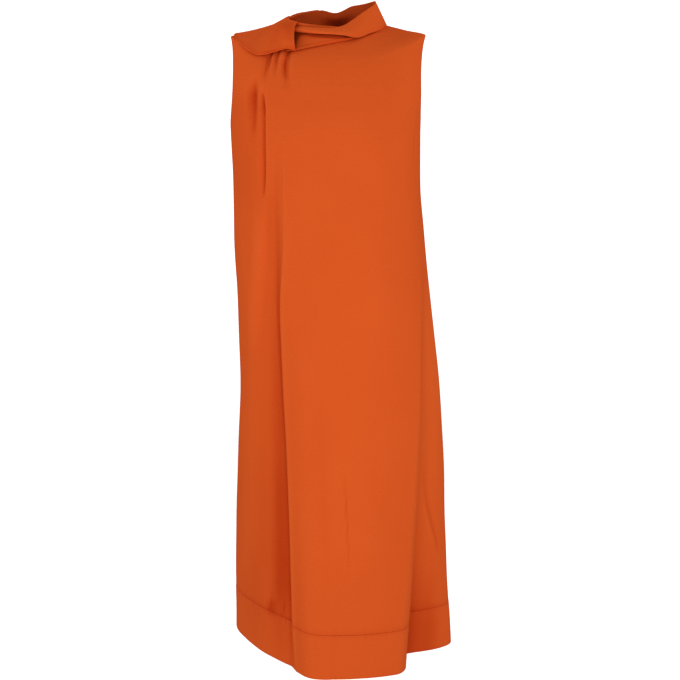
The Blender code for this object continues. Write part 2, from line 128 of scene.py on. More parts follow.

# How much of the relief each part makes, and how much each deepens the colour; the hollows' share
# is painted shade
WEAVE_RELIEF = 0.35
PEBBLE_RELIEF = 0.9
MOTTLE_DEEPENS = 0.16
HOLLOW_SHADE = 0.45
EDGE_DEEPENS = 0.06

# How far a sharp crest takes the painted highlight colour
CREST_HIGHLIGHT = 0.8

# Painted shade: how far the collar's pocket and the inside of the dress take the inside colour, how
# far inside the pocket begins, and how far inside that colour begins and is full
POCKET_DARKENS = 0.85
POCKET_INSIDE = 0.2
INSIDE_DARKENS = 0.8
INSIDE_BEGINS = 0.43
INSIDE_FULL = 0.66

# A wave texture of scale 1 repeats after this length
WAVE_LENGTH = 0.3142

# The thread's colour is a darker share of the crepe's, and its twist deepens it by a share more
THREAD_COLOUR = 0.86
TWIST_DEEPENS = 0.6

# A line of stitches runs along the middle of a narrow strip of the cloth and leaves its ends free
STITCH_STRIP = np.array([-0.001, 0.0, 0.001])
STITCHED_PART = slice(2, -2)
ARMHOLE_STATIONS = 90

# Plan of the body: where each ring meets the right side, the front, the left side and the back
PLAN_COLUMNS = (
    "level", "right_x", "right_y", "front_x", "front_y", "left_x", "left_y", "back_x", "back_y",
)
PLAN = (
    (-1.1650, 0.2360, 0.044, 0.000, -0.1830, -0.1870, 0.118, 0.020, 0.205),
    (-0.9550, 0.2260, 0.036, 0.010, -0.1730, -0.1830, 0.090, 0.015, 0.186),
    (-0.8000, 0.2200, 0.030, 0.018, -0.1660, -0.1770, 0.070, 0.012, 0.168),
    (-0.6430, 0.2090, 0.025, 0.024, -0.1590, -0.1700, 0.052, 0.010, 0.152),
    (-0.4900, 0.1910, 0.020, 0.028, -0.1530, -0.1730, 0.038, 0.008, 0.136),
    (-0.3660, 0.1780, 0.015, 0.024, -0.1480, -0.1780, 0.028, 0.006, 0.125),
    (-0.2700, 0.1700, 0.012, 0.018, -0.1440, -0.1780, 0.021, 0.004, 0.119),
    (-0.1750, 0.1690, 0.010, 0.012, -0.1380, -0.1810, 0.015, 0.003, 0.115),
    (-0.0875, 0.1775, 0.010, 0.006, -0.1260, -0.1835, 0.012, 0.002, 0.110),
    (0.0000, 0.1785, 0.010, 0.003, -0.1080, -0.1795, 0.010, 0.000, 0.098),
    (0.0300, 0.1420, 0.010, 0.002, -0.0980, -0.1390, 0.010, 0.000, 0.089),
    (0.0600, 0.1040, 0.010, 0.002, -0.0880, -0.1000, 0.010, 0.000, 0.080),
)

# Heights of the same rings, how square each quarter is, and how sharply a ring dips from its sides
RISE_COLUMNS = (
    "level", "right_z", "front_z", "left_z", "back_z",
    "square_front_right", "square_front_left", "square_back", "dip",
)
RISE = (
    (-1.1650, -1.1650, -1.1680, -1.1600, -1.165, 2.30, 1.50, 2.20, 2.0),
    (-1.0850, -1.0840, -1.0860, -1.0740, -1.085, 2.28, 1.55, 2.22, 3.5),
    (-0.9550, -0.9550, -0.9570, -0.9490, -0.955, 2.25, 1.65, 2.25, 2.0),
    (-0.8000, -0.8000, -0.8010, -0.7980, -0.800, 2.25, 1.80, 2.30, 2.0),
    (-0.6430, -0.6430, -0.6430, -0.6430, -0.643, 2.30, 2.00, 2.35, 2.0),
    (-0.4900, -0.4900, -0.4900, -0.4900, -0.490, 2.45, 2.35, 2.45, 2.0),
    (-0.3660, -0.3660, -0.3650, -0.3660, -0.365, 2.60, 2.50, 2.50, 2.0),
    (-0.2700, -0.2700, -0.2680, -0.2700, -0.268, 2.80, 2.70, 2.55, 2.0),
    (-0.1750, -0.1750, -0.1700, -0.1750, -0.170, 3.10, 3.00, 2.60, 2.0),
    (-0.0875, -0.0875, -0.1120, -0.0875, -0.088, 3.00, 3.00, 2.50, 1.9),
    (0.0000, 0.0000, -0.0520, -0.0020, -0.022, 2.40, 2.40, 2.30, 1.8),
    (0.0300, 0.0095, -0.0310, 0.0040, -0.006, 2.15, 2.15, 2.15, 1.6),
    (0.0600, 0.0190, -0.0150, 0.0100, 0.008, 2.00, 2.00, 2.00, 1.4),
)

# On which side of a fold's crest its valley lies: on along the ring, which runs from the right side
# by the front, back along it, or evenly about the line
ONWARD, BACKWARD, ABOUT = 1, -1, 0

# Folds: where the crest runs, how deep the valley beside it is, how soon the valley's bottom comes
# (rise), how far the cloth takes to come back from there (run), and how crisp the crest is, 0 to 1
FOLD_COLUMNS = ("level", "x", "depth", "rise", "run", "crisp")
FRONT_FOLDS = (
    (ONWARD, (  # main fold
        (-1.165, -0.0600, 0.012, 0.034, 0.260, 0.5),
        (-1.085, -0.0665, 0.018, 0.030, 0.220, 0.6),
        (-0.955, -0.0693, 0.024, 0.030, 0.180, 0.6),
        (-0.800, -0.0738, 0.024, 0.026, 0.130, 0.7),
        (-0.643, -0.0820, 0.021, 0.024, 0.090, 0.7),
        (-0.490, -0.0868, 0.017, 0.022, 0.075, 0.7),
        (-0.366, -0.0805, 0.009, 0.020, 0.060, 0.5),
        (-0.270, -0.0810, 0.003, 0.018, 0.050, 0.3),
        (-0.210, -0.0810, 0.000, 0.016, 0.040, 0.5),
    )),
    (ABOUT, (  # ridge beside the main fold
        (-1.165, -0.0300, -0.010, 0.045, 0.045, 0.0),
        (-0.800, -0.0420, -0.005, 0.040, 0.040, 0.0),
        (-0.520, -0.0550, 0.000, 0.036, 0.036, 0.0),
    )),
    (BACKWARD, (  # right fold
        (-1.165, 0.1220, 0.070, 0.105, 0.120, 0.0),
        (-0.955, 0.1440, 0.055, 0.088, 0.110, 0.0),
        (-0.800, 0.1560, 0.040, 0.070, 0.095, 0.0),
        (-0.643, 0.1640, 0.021, 0.050, 0.075, 0.0),
        (-0.490, 0.1660, 0.006, 0.034, 0.050, 0.0),
        (-0.400, 0.1620, 0.000, 0.030, 0.040, 0.0),
    )),
    (ONWARD, (  # upper crease
        (-0.300, -0.1130, 0.000, 0.005, 0.014, 1.0),
        (-0.250, -0.1120, 0.004, 0.005, 0.014, 1.0),
        (-0.190, -0.1110, 0.004, 0.005, 0.012, 1.0),
        (-0.120, -0.1116, 0.004, 0.005, 0.008, 1.0),
        (-0.080, -0.1130, 0.000, 0.005, 0.008, 1.0),
    )),
    (ABOUT, (  # shoulder valley
        (-0.210, -0.1350, 0.000, 0.014, 0.014, 0.0),
        (-0.150, -0.1330, 0.004, 0.014, 0.014, 0.0),
        (-0.100, -0.1310, 0.004, 0.013, 0.013, 0.0),
        (-0.050, -0.1280, 0.000, 0.012, 0.012, 0.0),
    )),
    (ABOUT, (  # hip ridge
        (-0.620, -0.1450, 0.000, 0.026, 0.026, 0.0),
        (-0.500, -0.1400, -0.004, 0.026, 0.026, 0.0),
        (-0.360, -0.1280, -0.004, 0.024, 0.024, 0.0),
        (-0.260, -0.1240, 0.000, 0.022, 0.022, 0.0),
    )),
    (ABOUT, (  # outer pleat
        (-0.064, -0.1115, 0.000, 0.008, 0.008, 0.0),
        (-0.040, -0.1098, 0.003, 0.008, 0.008, 0.0),
        (-0.010, -0.1070, 0.007, 0.008, 0.008, 0.0),
        (0.060, -0.0860, 0.006, 0.005, 0.005, 0.0),
    )),
    (ABOUT, (  # middle pleat
        (-0.050, -0.0958, 0.000, 0.008, 0.008, 0.0),
        (-0.028, -0.0952, 0.003, 0.008, 0.008, 0.0),
        (-0.005, -0.0940, 0.006, 0.008, 0.008, 0.0),
        (0.060, -0.0740, 0.005, 0.005, 0.005, 0.0),
    )),
    (ABOUT, (  # inner pleat
        (-0.084, -0.0725, 0.000, 0.012, 0.012, 0.0),
        (-0.056, -0.0738, 0.0015, 0.011, 0.011, 0.0),
        (-0.020, -0.0760, 0.006, 0.009, 0.009, 0.0),
        (0.060, -0.0600, 0.005, 0.006, 0.006, 0.0),
    )),
)
BACK_FOLDS = (
    (ABOUT, (  # left
        (-1.165, -0.0850, 0.036, 0.060, 0.060, 0.0),
        (-0.800, -0.0780, 0.020, 0.052, 0.052, 0.0),
        (-0.490, -0.0720, 0.008, 0.044, 0.044, 0.0),
        (-0.280, -0.0700, 0.000, 0.038, 0.038, 0.0),
    )),
    (ABOUT, (  # centre
        (-1.165, 0.0300, 0.016, 0.040, 0.040, 0.0),
        (-0.850, 0.0240, 0.008, 0.036, 0.036, 0.0),
        (-0.560, 0.0200, 0.000, 0.032, 0.032, 0.0),
    )),
    (ABOUT, (  # right
        (-1.165, 0.1300, 0.042, 0.062, 0.062, 0.0),
        (-0.760, 0.1080, 0.022, 0.054, 0.054, 0.0),
        (-0.440, 0.0920, 0.008, 0.044, 0.044, 0.0),
        (-0.240, 0.0850, 0.000, 0.038, 0.038, 0.0),
    )),
)

# Creases placed one by one, too fine for the solids, in the same columns
FRONT_CREASES = (
    (ONWARD, (  # folded edge of the main fold
        (-1.165, -0.0600, 0.0010, 0.008, 0.028, 0.8),
        (-1.085, -0.0665, 0.0055, 0.006, 0.030, 1.0),
        (-0.955, -0.0693, 0.0085, 0.005, 0.032, 1.0),
        (-0.800, -0.0738, 0.0090, 0.005, 0.030, 1.0),
        (-0.643, -0.0820, 0.0075, 0.005, 0.026, 1.0),
        (-0.490, -0.0868, 0.0045, 0.005, 0.022, 1.0),
        (-0.366, -0.0805, 0.0010, 0.005, 0.018, 1.0),
        (-0.270, -0.0810, 0.0004, 0.005, 0.016, 1.0),
        (-0.210, -0.0810, 0.0000, 0.005, 0.014, 1.0),
    )),
    (ABOUT, (  # fine pressed line along its crest
        (-1.165, -0.0582, 0.0000, 0.0035, 0.0035, 0.0),
        (-1.085, -0.0647, -0.0010, 0.0035, 0.0035, 0.0),
        (-0.955, -0.0675, -0.0012, 0.0035, 0.0035, 0.0),
        (-0.800, -0.0720, -0.0012, 0.0035, 0.0035, 0.0),
        (-0.643, -0.0802, -0.0012, 0.0035, 0.0035, 0.0),
        (-0.490, -0.0850, -0.0012, 0.0035, 0.0035, 0.0),
        (-0.366, -0.0787, -0.0012, 0.0035, 0.0035, 0.0),
        (-0.270, -0.0792, -0.0010, 0.0035, 0.0035, 0.0),
        (-0.220, -0.0790, 0.0000, 0.0035, 0.0035, 0.0),
    )),
    (ABOUT, (  # faint pressed crease low on the centre
        (-0.990, 0.0370, 0.0000, 0.004, 0.004, 0.3),
        (-0.930, 0.0360, 0.0010, 0.004, 0.004, 0.3),
        (-0.840, 0.0320, 0.0014, 0.004, 0.004, 0.3),
        (-0.770, 0.0290, 0.0000, 0.004, 0.004, 0.3),
    )),
    (ABOUT, (  # crease on the right side part
        (-0.990, 0.2250, 0.0000, 0.004, 0.006, 0.0),
        (-0.962, 0.2238, 0.0026, 0.005, 0.008, 0.0),
        (-0.905, 0.2194, 0.0034, 0.008, 0.011, 0.0),
        (-0.845, 0.2138, 0.0024, 0.010, 0.013, 0.0),
        (-0.765, 0.2070, 0.0000, 0.012, 0.016, 0.0),
    )),
    (ABOUT, (  # small dimple on the right
        (-0.6990, 0.0870, 0.0000, 0.0040, 0.0040, 0.0),
        (-0.6910, 0.0870, 0.0006, 0.0040, 0.0040, 0.0),
        (-0.6830, 0.0870, 0.0000, 0.0040, 0.0040, 0.0),
    )),
    (ABOUT, (  # puckers where the main fold's valley meets the band
        (-1.098, -0.1230, 0.0000, 0.007, 0.007, 0.0),
        (-1.078, -0.1230, 0.0022, 0.010, 0.009, 0.0),
        (-1.050, -0.1220, 0.0006, 0.012, 0.010, 0.0),
        (-1.030, -0.1210, 0.0000, 0.012, 0.010, 0.0),
    )),
    (ABOUT, (  # and closer to the crest
        (-1.094, -0.1010, 0.0000, 0.006, 0.006, 0.0),
        (-1.074, -0.1000, 0.0018, 0.008, 0.007, 0.0),
        (-1.046, -0.0980, 0.0000, 0.009, 0.009, 0.0),
    )),
    (ONWARD, (  # upper crease's pressed line
        (-0.292, -0.1145, 0.0000, 0.0018, 0.008, 1.0),
        (-0.270, -0.1125, 0.0026, 0.0018, 0.009, 1.0),
        (-0.240, -0.1108, 0.0030, 0.0018, 0.010, 1.0),
        (-0.200, -0.1102, 0.0018, 0.0018, 0.010, 1.0),
        (-0.150, -0.1100, 0.0018, 0.0018, 0.012, 1.0),
        (-0.118, -0.1112, 0.0044, 0.0020, 0.012, 1.0),
        (-0.098, -0.1135, 0.0034, 0.0022, 0.010, 1.0),
        (-0.084, -0.1165, 0.0000, 0.0026, 0.008, 1.0),
    )),
    (ABOUT, (  # deeper part of the shoulder valley
        (-0.205, -0.1370, 0.0000, 0.014, 0.014, 0.0),
        (-0.150, -0.1365, 0.0012, 0.014, 0.013, 0.0),
        (-0.105, -0.1362, 0.0032, 0.014, 0.013, 0.0),
        (-0.080, -0.1355, 0.0026, 0.013, 0.012, 0.0),
        (-0.055, -0.1340, 0.0000, 0.012, 0.012, 0.0),
    )),
    (ONWARD, (  # folded edge of the outer pleat
        (-0.060, -0.1120, 0.0000, 0.0030, 0.010, 1.0),
        (-0.040, -0.1108, 0.0026, 0.0030, 0.011, 1.0),
        (0.000, -0.1085, 0.0046, 0.0030, 0.012, 1.0),
        (0.060, -0.0880, 0.0040, 0.0025, 0.009, 1.0),
    )),
    (ONWARD, (  # folded edge of the inner pleat
        (-0.074, -0.0724, 0.0000, 0.0035, 0.012, 1.0),
        (-0.050, -0.0734, 0.0012, 0.0035, 0.012, 1.0),
        (-0.020, -0.0758, 0.0044, 0.0032, 0.013, 1.0),
        (0.060, -0.0610, 0.0040, 0.0028, 0.010, 1.0),
    )),
    (ABOUT, (  # drag line from the right armhole
        (-0.250, 0.1560, 0.0000, 0.010, 0.010, 0.0),
        (-0.200, 0.1560, 0.0012, 0.010, 0.010, 0.0),
        (-0.150, 0.1580, 0.0000, 0.009, 0.009, 0.0),
    )),
)
BACK_CREASES = (
    (ABOUT, (  # soft drag line below the left shoulder blade
        (-0.420, -0.1050, 0.0000, 0.020, 0.024, 0.0),
        (-0.300, -0.1120, 0.0026, 0.018, 0.022, 0.0),
        (-0.180, -0.1150, 0.0020, 0.016, 0.020, 0.0),
        (-0.090, -0.1100, 0.0000, 0.014, 0.018, 0.0),
    )),
    (ABOUT, (  # and the right
        (-0.380, 0.1080, 0.0000, 0.018, 0.022, 0.0),
        (-0.260, 0.1140, 0.0022, 0.016, 0.020, 0.0),
        (-0.150, 0.1130, 0.0000, 0.014, 0.018, 0.0),
    )),
    (ONWARD, (  # crisp crease beside the left fold
        (-1.060, -0.0300, 0.0000, 0.008, 0.040, 0.5),
        (-0.920, -0.0280, 0.0032, 0.008, 0.036, 0.5),
        (-0.700, -0.0250, 0.0024, 0.008, 0.032, 0.5),
        (-0.560, -0.0240, 0.0000, 0.008, 0.028, 0.5),
    )),
)

# Painted shade where the folds shelter the cloth, deepening its colour: between two places across
# the body, by how much, and how softly that begins at each. An amount below 0 takes painted shade
# away and so paints the cloth lighter
SHADE_COLUMNS = ("level", "from_x", "to_x", "amount", "fade_from", "fade_to")
FRONT_SHADES = (
    (  # under the main fold's edge
        (-1.165, -0.0960, -0.0760, 0.14, 0.030, 0.012),
        (-1.095, -0.1010, -0.0790, 0.20, 0.030, 0.012),
        (-1.060, -0.1050, -0.0780, 0.44, 0.026, 0.011),
        (-1.010, -0.1060, -0.0780, 0.60, 0.022, 0.010),
        (-0.930, -0.1060, -0.0795, 0.54, 0.024, 0.010),
        (-0.835, -0.1060, -0.0822, 0.54, 0.022, 0.010),
        (-0.760, -0.1050, -0.0850, 0.42, 0.022, 0.010),
        (-0.668, -0.1050, -0.0895, 0.36, 0.022, 0.009),
        (-0.570, -0.1040, -0.0935, 0.20, 0.020, 0.009),
        (-0.480, -0.1000, -0.0940, 0.06, 0.016, 0.008),
        (-0.400, -0.0980, -0.0900, 0.00, 0.012, 0.008),
    ),
    (  # and softly further out
        (-1.165, -0.1500, -0.1080, 0.00, 0.030, 0.030),
        (-1.085, -0.1500, -0.1100, 0.16, 0.030, 0.030),
        (-0.930, -0.1360, -0.1100, 0.16, 0.024, 0.024),
        (-0.668, -0.1280, -0.1100, 0.08, 0.020, 0.020),
        (-0.480, -0.1200, -0.1060, 0.00, 0.020, 0.020),
    ),
    (  # in the puckers above the band
        (-1.098, -0.1240, -0.1180, 0.00, 0.008, 0.008),
        (-1.078, -0.1240, -0.1180, 0.34, 0.010, 0.010),
        (-1.054, -0.1200, -0.1150, 0.00, 0.008, 0.008),
    ),
    (  # in the right fold's valley
        (-1.165, 0.1620, 0.2240, 0.50, 0.014, 0.009),
        (-1.110, 0.1680, 0.2235, 0.46, 0.014, 0.008),
        (-1.075, 0.1740, 0.2225, 0.30, 0.014, 0.007),
        (-1.030, 0.1780, 0.2205, 0.12, 0.014, 0.008),
        (-0.970, 0.1860, 0.2185, -0.06, 0.018, 0.008),
        (-0.910, 0.1900, 0.2165, -0.16, 0.018, 0.008),
        (-0.830, 0.1950, 0.2140, -0.26, 0.018, 0.008),
        (-0.740, 0.1960, 0.2100, -0.36, 0.016, 0.008),
        (-0.640, 0.1920, 0.2060, -0.34, 0.016, 0.008),
        (-0.540, 0.1840, 0.1980, -0.26, 0.014, 0.010),
        (-0.440, 0.1780, 0.1900, 0.00, 0.014, 0.012),
    ),
    (  # beside the upper crease
        (-0.330, -0.1700, -0.1160, 0.00, 0.020, 0.002),
        (-0.270, -0.1700, -0.1135, 0.12, 0.020, 0.001),
        (-0.130, -0.1700, -0.1130, 0.14, 0.020, 0.001),
        (-0.080, -0.1700, -0.1180, 0.00, 0.020, 0.002),
    ),
    (  # in the shoulder valley
        (-0.190, -0.1380, -0.1360, 0.00, 0.012, 0.012),
        (-0.130, -0.1380, -0.1350, 0.22, 0.012, 0.012),
        (-0.100, -0.1375, -0.1345, 0.40, 0.011, 0.010),
        (-0.070, -0.1360, -0.1330, 0.00, 0.010, 0.010),
    ),
)

# The columns of the front panel's mesh that follow a crest or crease all the way up
GUIDE_COLUMNS = ("level", "right_crest_x", "main_crest_x", "crease_x")
GUIDES = (
    (-1.165, 0.1220, -0.0600, -0.1260),
    (-1.085, 0.1305, -0.0665, -0.1270),
    (-0.955, 0.1440, -0.0693, -0.1280),
    (-0.800, 0.1560, -0.0738, -0.1280),
    (-0.643, 0.1640, -0.0820, -0.1280),
    (-0.490, 0.1620, -0.0868, -0.1240),
    (-0.366, 0.1520, -0.0805, -0.1160),
    (-0.270, 0.1400, -0.0800, -0.1125),
    (-0.175, 0.1300, -0.0740, -0.1116),
    (-0.0875, 0.1220, -0.0680, -0.1150),
    (0.000, 0.1100, -0.0620, -0.1170),
    (0.060, 0.0700, -0.0500, -0.0920),
)

# How uneven the cloth is by height, and the soft waves that make it so: waves round the body, up
# the body, starting phase and share
UNEVEN_COLUMNS = ("level", "amount")
UNEVEN = (
    (-1.165, 0.0016),
    (-0.800, 0.0013),
    (-0.400, 0.0008),
    (-0.100, 0.0005),
    (0.060, 0.0002),
)
WAVES = (
    (5.3, 1.1, 0.4, 0.45),
    (8.7, -1.9, 2.1, 0.30),
    (13.1, 2.6, 4.0, 0.18),
    (21.7, -3.7, 1.2, 0.10),
    (3.1, 6.3, 5.2, 0.16),
)

# Puckers that the sewing pulls up along the hem seam: how deep, how far they reach up and down, how
# far apart, and what sets their waves off from each other. In the main fold's valley they are
# deeper by the gather, round this x and over this spread
PUCKER_DEPTH = 0.00016
PUCKER_REACH = 0.016
PUCKER_PITCH = (0.019, 0.0135, 0.031)
PUCKER_PHASE = 9
PUCKER_GATHER = 0.8
PUCKER_GATHER_X = -0.085
PUCKER_SPREAD = 0.045

# The collar band winds once round the neck and overlaps itself at the front. Turn is the angle
# from the right side, by the front. Out and up are from the neckline
BAND_COLUMNS = ("turn", "base_out", "base_up", "top_out", "top_up", "bulge")
COLLAR_BAND = (
    (70.0, -0.0030, 0.0030, -0.0120, 0.0225, 0.000),
    (90.0, -0.0030, 0.0020, -0.0130, 0.0280, 0.001),
    (127.0, -0.0020, 0.0018, -0.0010, 0.0290, 0.002),
    (150.0, -0.0014, 0.0024, -0.0180, 0.0295, 0.003),
    (180.0, -0.0008, -0.0006, -0.0350, 0.0225, 0.003),
    (210.0, -0.0008, -0.0006, -0.0260, 0.0270, 0.003),
    (240.0, -0.0008, -0.0006, -0.0140, 0.0368, 0.002),
    (262.0, -0.0008, -0.0006, -0.0120, 0.0420, 0.002),
    (277.0, -0.0008, -0.0006, -0.0110, 0.0370, 0.002),
    (300.0, -0.0008, -0.0006, -0.0140, 0.0480, 0.002),
    (330.0, 0.0012, -0.0006, -0.0180, 0.0475, 0.002),
    (360.0, 0.0030, -0.0006, -0.0190, 0.0445, 0.000),
    (382.0, 0.0026, -0.0006, -0.0150, 0.0440, 0.001),
    (405.0, 0.0028, 0.0026, -0.0175, 0.0405, 0.002),
    (420.0, 0.0056, 0.0012, -0.0160, 0.0345, 0.003),
    (437.0, 0.0092, 0.0092, -0.0080, 0.0260, 0.0045),
    (450.0, 0.0096, 0.0126, -0.0030, 0.0236, 0.0050),
    (470.0, 0.0086, 0.0132, 0.0030, 0.0232, 0.0050),
    (487.0, 0.0070, 0.0122, 0.0040, 0.0210, 0.0046),
    (498.0, 0.0074, 0.0108, 0.0050, 0.0184, 0.0040),
)

# Painted shade in the narrow pocket inside the band: its turn, where up the band it begins and is
# full, its width
BAND_POCKET = (280.0, 0.80, 0.50, 15.0)

# The fall starts behind the band's outer end and turns down over the neckline to a rim that lies
# on the body: at rim turn and rim level, lifted off it
FALL_COLUMNS = (
    "turn", "top_out", "top_up", "neck_out", "neck_up", "rim_turn", "rim_level", "lift",
)
COLLAR_FALL = (
    (60.0, 0.0000, 0.0050, 0.0016, 0.0026, 60.0, 0.0596, 0.0016),
    (70.0, 0.0006, 0.0065, 0.0030, 0.0030, 69.0, 0.0575, 0.0021),
    (80.0, 0.0010, 0.0110, 0.0036, 0.0040, 79.0, 0.0560, 0.0023),
    (90.0, 0.0012, 0.0135, 0.0044, 0.0045, 90.0, 0.0500, 0.0025),
    (104.0, 0.0014, 0.0140, 0.0060, 0.0030, 99.0, 0.0390, 0.0040),
    (118.0, 0.0010, 0.0135, 0.0066, 0.0010, 106.0, 0.0290, 0.0045),
    (130.0, 0.0000, 0.0125, 0.0060, -0.0005, 111.0, 0.0200, 0.0045),
    (138.0, -0.0010, 0.0110, 0.0055, -0.0010, 115.0, 0.0160, 0.0045),
)

# How much painted shade the band's outer strip casts on the fall under it, over what share of the
# way down, and over what share more the shade fades
FALL_SHADE_FADE = 0.22
FALL_SHADE_COLUMNS = ("turn", "amount", "reach")
FALL_SHADE = (
    (60.0, 0.10, 0.20),
    (84.0, 0.40, 0.26),
    (104.0, 0.50, 0.16),
    (118.0, 0.20, 0.10),
    (138.0, 0.00, 0.08),
)

# The flap hangs from the outside of the band's top edge over the left shoulder, from its finished
# front end round to the back. Its rim lies on the body as the fall's does
FLAP_COLUMNS = ("turn", "rim_turn", "rim_level", "lift", "bulge")
COLLAR_FLAP = (
    (123.8, 109.2, 0.018, 0.0066, 0.0104),
    (131.0, 114.8, 0.017, 0.0078, 0.0135),
    (140.0, 119.5, 0.006, 0.0068, 0.0132),
    (150.0, 125.0, -0.006, 0.0060, 0.0110),
    (160.0, 131.5, -0.013, 0.0055, 0.0100),
    (168.0, 139.5, -0.011, 0.0050, 0.0080),
    (175.0, 148.0, -0.005, 0.0040, 0.0030),
    (181.0, 161.0, 0.004, 0.0036, -0.0025),
    (187.0, 180.0, 0.009, 0.0032, -0.0055),
    (195.0, 197.0, 0.008, 0.0029, -0.0060),
    (205.0, 211.0, 0.004, 0.0032, -0.0050),
    (218.0, 225.0, 0.008, 0.0045, -0.0010),
    (232.0, 233.0, 0.022, 0.0060, 0.0030),
    (246.0, 241.0, 0.042, 0.0070, 0.0030),
    (258.0, 253.0, 0.058, 0.0090, 0.0020),
)
FLAP_SEAT = 0.0023  # from the middle of the band's wall to the middle of the flap's

# The narrow rolled hem of the fall and the flap, measured in from their rims, the share of the way
# down that its finer rows take on each, and the strip turned in along the flap's front end
RIM_ROWS = 18
FALL_RIM_SHARE = 0.22
FLAP_RIM_SHARE = 0.09
ROLL_HEIGHT = 0.0010
ROLL_INSET = 0.0017
ROLL_WIDTH = 0.0012
GROOVE_DEPTH = 0.0004
GROOVE_INSET = 0.0046
STRIP_WIDTH = 0.0080
FLAP_STRIP_TURN = 12.0
FLAP_STRIP_STATIONS = 34


class DRESS_PG_crepe(bpy.types.PropertyGroup):
    """The crepe that every piece is cut from."""

    colour: FloatVectorProperty(
        name="Colour", description="Burnt orange of the crepe", subtype="COLOR", size=3,
        default=(0.730, 0.107, 0.0185), min=0.0, max=1.0,
    )
    # the real deeper orange between the threads, and also the colour of painted shade in hollows,
    # under the folds and where other cloth is close
    deep_and_shade_colour: FloatVectorProperty(
        name="Deep colour", description="Redder orange between the threads", subtype="COLOR",
        size=3, default=(0.520, 0.042, 0.0058), min=0.0, max=1.0,
    )
    thickness: FloatProperty(
        name="Thickness", description="One layer of crepe", default=0.0013, unit="LENGTH",
    )
    doubled: FloatProperty(
        name="Doubled", description="Two layers, in the collar and the hem bands",
        default=0.0022, unit="LENGTH",
    )
    thread: FloatProperty(
        name="Thread", description="From one thread of the weave to the next",
        default=0.00055, unit="LENGTH", precision=5,
    )
    pebble: FloatProperty(
        name="Pebble", description="Size of the crepe's fine crinkles",
        default=0.0014, unit="LENGTH", precision=5,
    )
    relief: FloatProperty(
        name="Relief", description="Depth of the weave and the crinkles",
        default=0.00022, unit="LENGTH", precision=5,
    )
    # painted highlight on sharp crests
    crest_highlight_colour: FloatVectorProperty(
        name="Crest colour", description="Lighter orange where a crease is pressed",
        subtype="COLOR", size=3, default=(0.780, 0.125, 0.0240), min=0.0, max=1.0,
    )
    # painted shade deep inside the dress and in the collar's pocket
    inside_shade_colour: FloatVectorProperty(
        name="Inside colour", description="Dark red-brown deep inside the dress", subtype="COLOR",
        size=3, default=(0.160, 0.016, 0.0030), min=0.0, max=1.0,
    )
    # share of painted shade where other cloth is close
    shelter: FloatProperty(
        name="Shelter", description="How much the colour deepens where other cloth is close",
        subtype="FACTOR", default=2.2, min=0.0,
    )
    sheen: FloatProperty(
        name="Sheen", description="Soft light along the edges", subtype="FACTOR",
        default=0.02, min=0.0, max=1.0,
    )


class DRESS_PG_stitches(bpy.types.PropertyGroup):
    """The thread that shows on the outside."""

    pitch: FloatProperty(
        name="Pitch", description="From one stitch to the next", default=0.0030, unit="LENGTH",
    )
    length: FloatProperty(
        name="Length", description="What shows of each stitch", default=0.0021, unit="LENGTH",
    )
    thickness: FloatProperty(
        name="Thickness", description="Thickness of the thread", default=0.00042,
        unit="LENGTH", precision=5,
    )
    armhole_inset: FloatProperty(
        name="Armhole inset", description="From the armhole's edge in to its stitches",
        default=0.0065, unit="LENGTH",
    )
    hem_inset: FloatProperty(
        name="Hem inset", description="From the hem band's seam down to its stitches",
        default=0.0050, unit="LENGTH",
    )
    flap_inset: FloatProperty(
        name="Flap inset", description="From the flap's front end in to its stitches",
        default=0.0080, unit="LENGTH",
    )


class DRESS_PG_stage(bpy.types.PropertyGroup):
    """Floor, light and camera."""

    floor_height: FloatProperty(
        name="Floor height", description="Height of the floor", default=-1.50, unit="LENGTH",
    )
    floor_colour: FloatVectorProperty(
        name="Floor colour", description="Pale floor and backdrop", subtype="COLOR", size=3,
        default=(0.94, 0.94, 0.935), min=0.0, max=1.0,
    )
    floor_glow: FloatProperty(
        name="Floor glow", description="How much the floor and backdrop shine of themselves",
        default=0.32, min=0.0,
    )
    key_light: FloatProperty(
        name="Key light", description="Power of the big soft light in front, in watts",
        default=8.1, min=0.0,
    )
    backdrop_light: FloatProperty(
        name="Backdrop light", description="Power of each light on the backdrop, in watts",
        default=52.0, min=0.0,
    )
    surround: FloatProperty(
        name="Surround", description="Strength of the even light from all round", default=0.12,
        min=0.0,
    )
    from_front: FloatProperty(
        name="From the front", description="Added light from the front", default=0.54, min=0.0,
    )
    from_left: FloatProperty(
        name="From the left", description="Added light from the left", default=0.31, min=0.0,
    )
    from_right: FloatProperty(
        name="From the right", description="Added light from the right", default=0.28, min=0.0,
    )
    from_below: FloatProperty(
        name="From below", description="Added light from below", default=0.36, min=0.0,
    )
    camera_place: FloatVectorProperty(
        name="Camera place", description="Where the camera stands", subtype="TRANSLATION", size=3,
        default=(0.021, -3.0, -0.15), unit="LENGTH",
    )
    camera_pitch: FloatProperty(
        name="Camera pitch", description="How far the camera looks down", subtype="ANGLE",
        default=math.radians(7.9),
    )
    camera_lens: FloatProperty(
        name="Camera lens", description="Focal length on a 36 mm sensor, in millimetres",
        default=84.81, min=1.0,
    )


def eased(share):
    """A share from 0 to 1 with a soft start and end."""
    return share**2 * (3 - 2 * share)


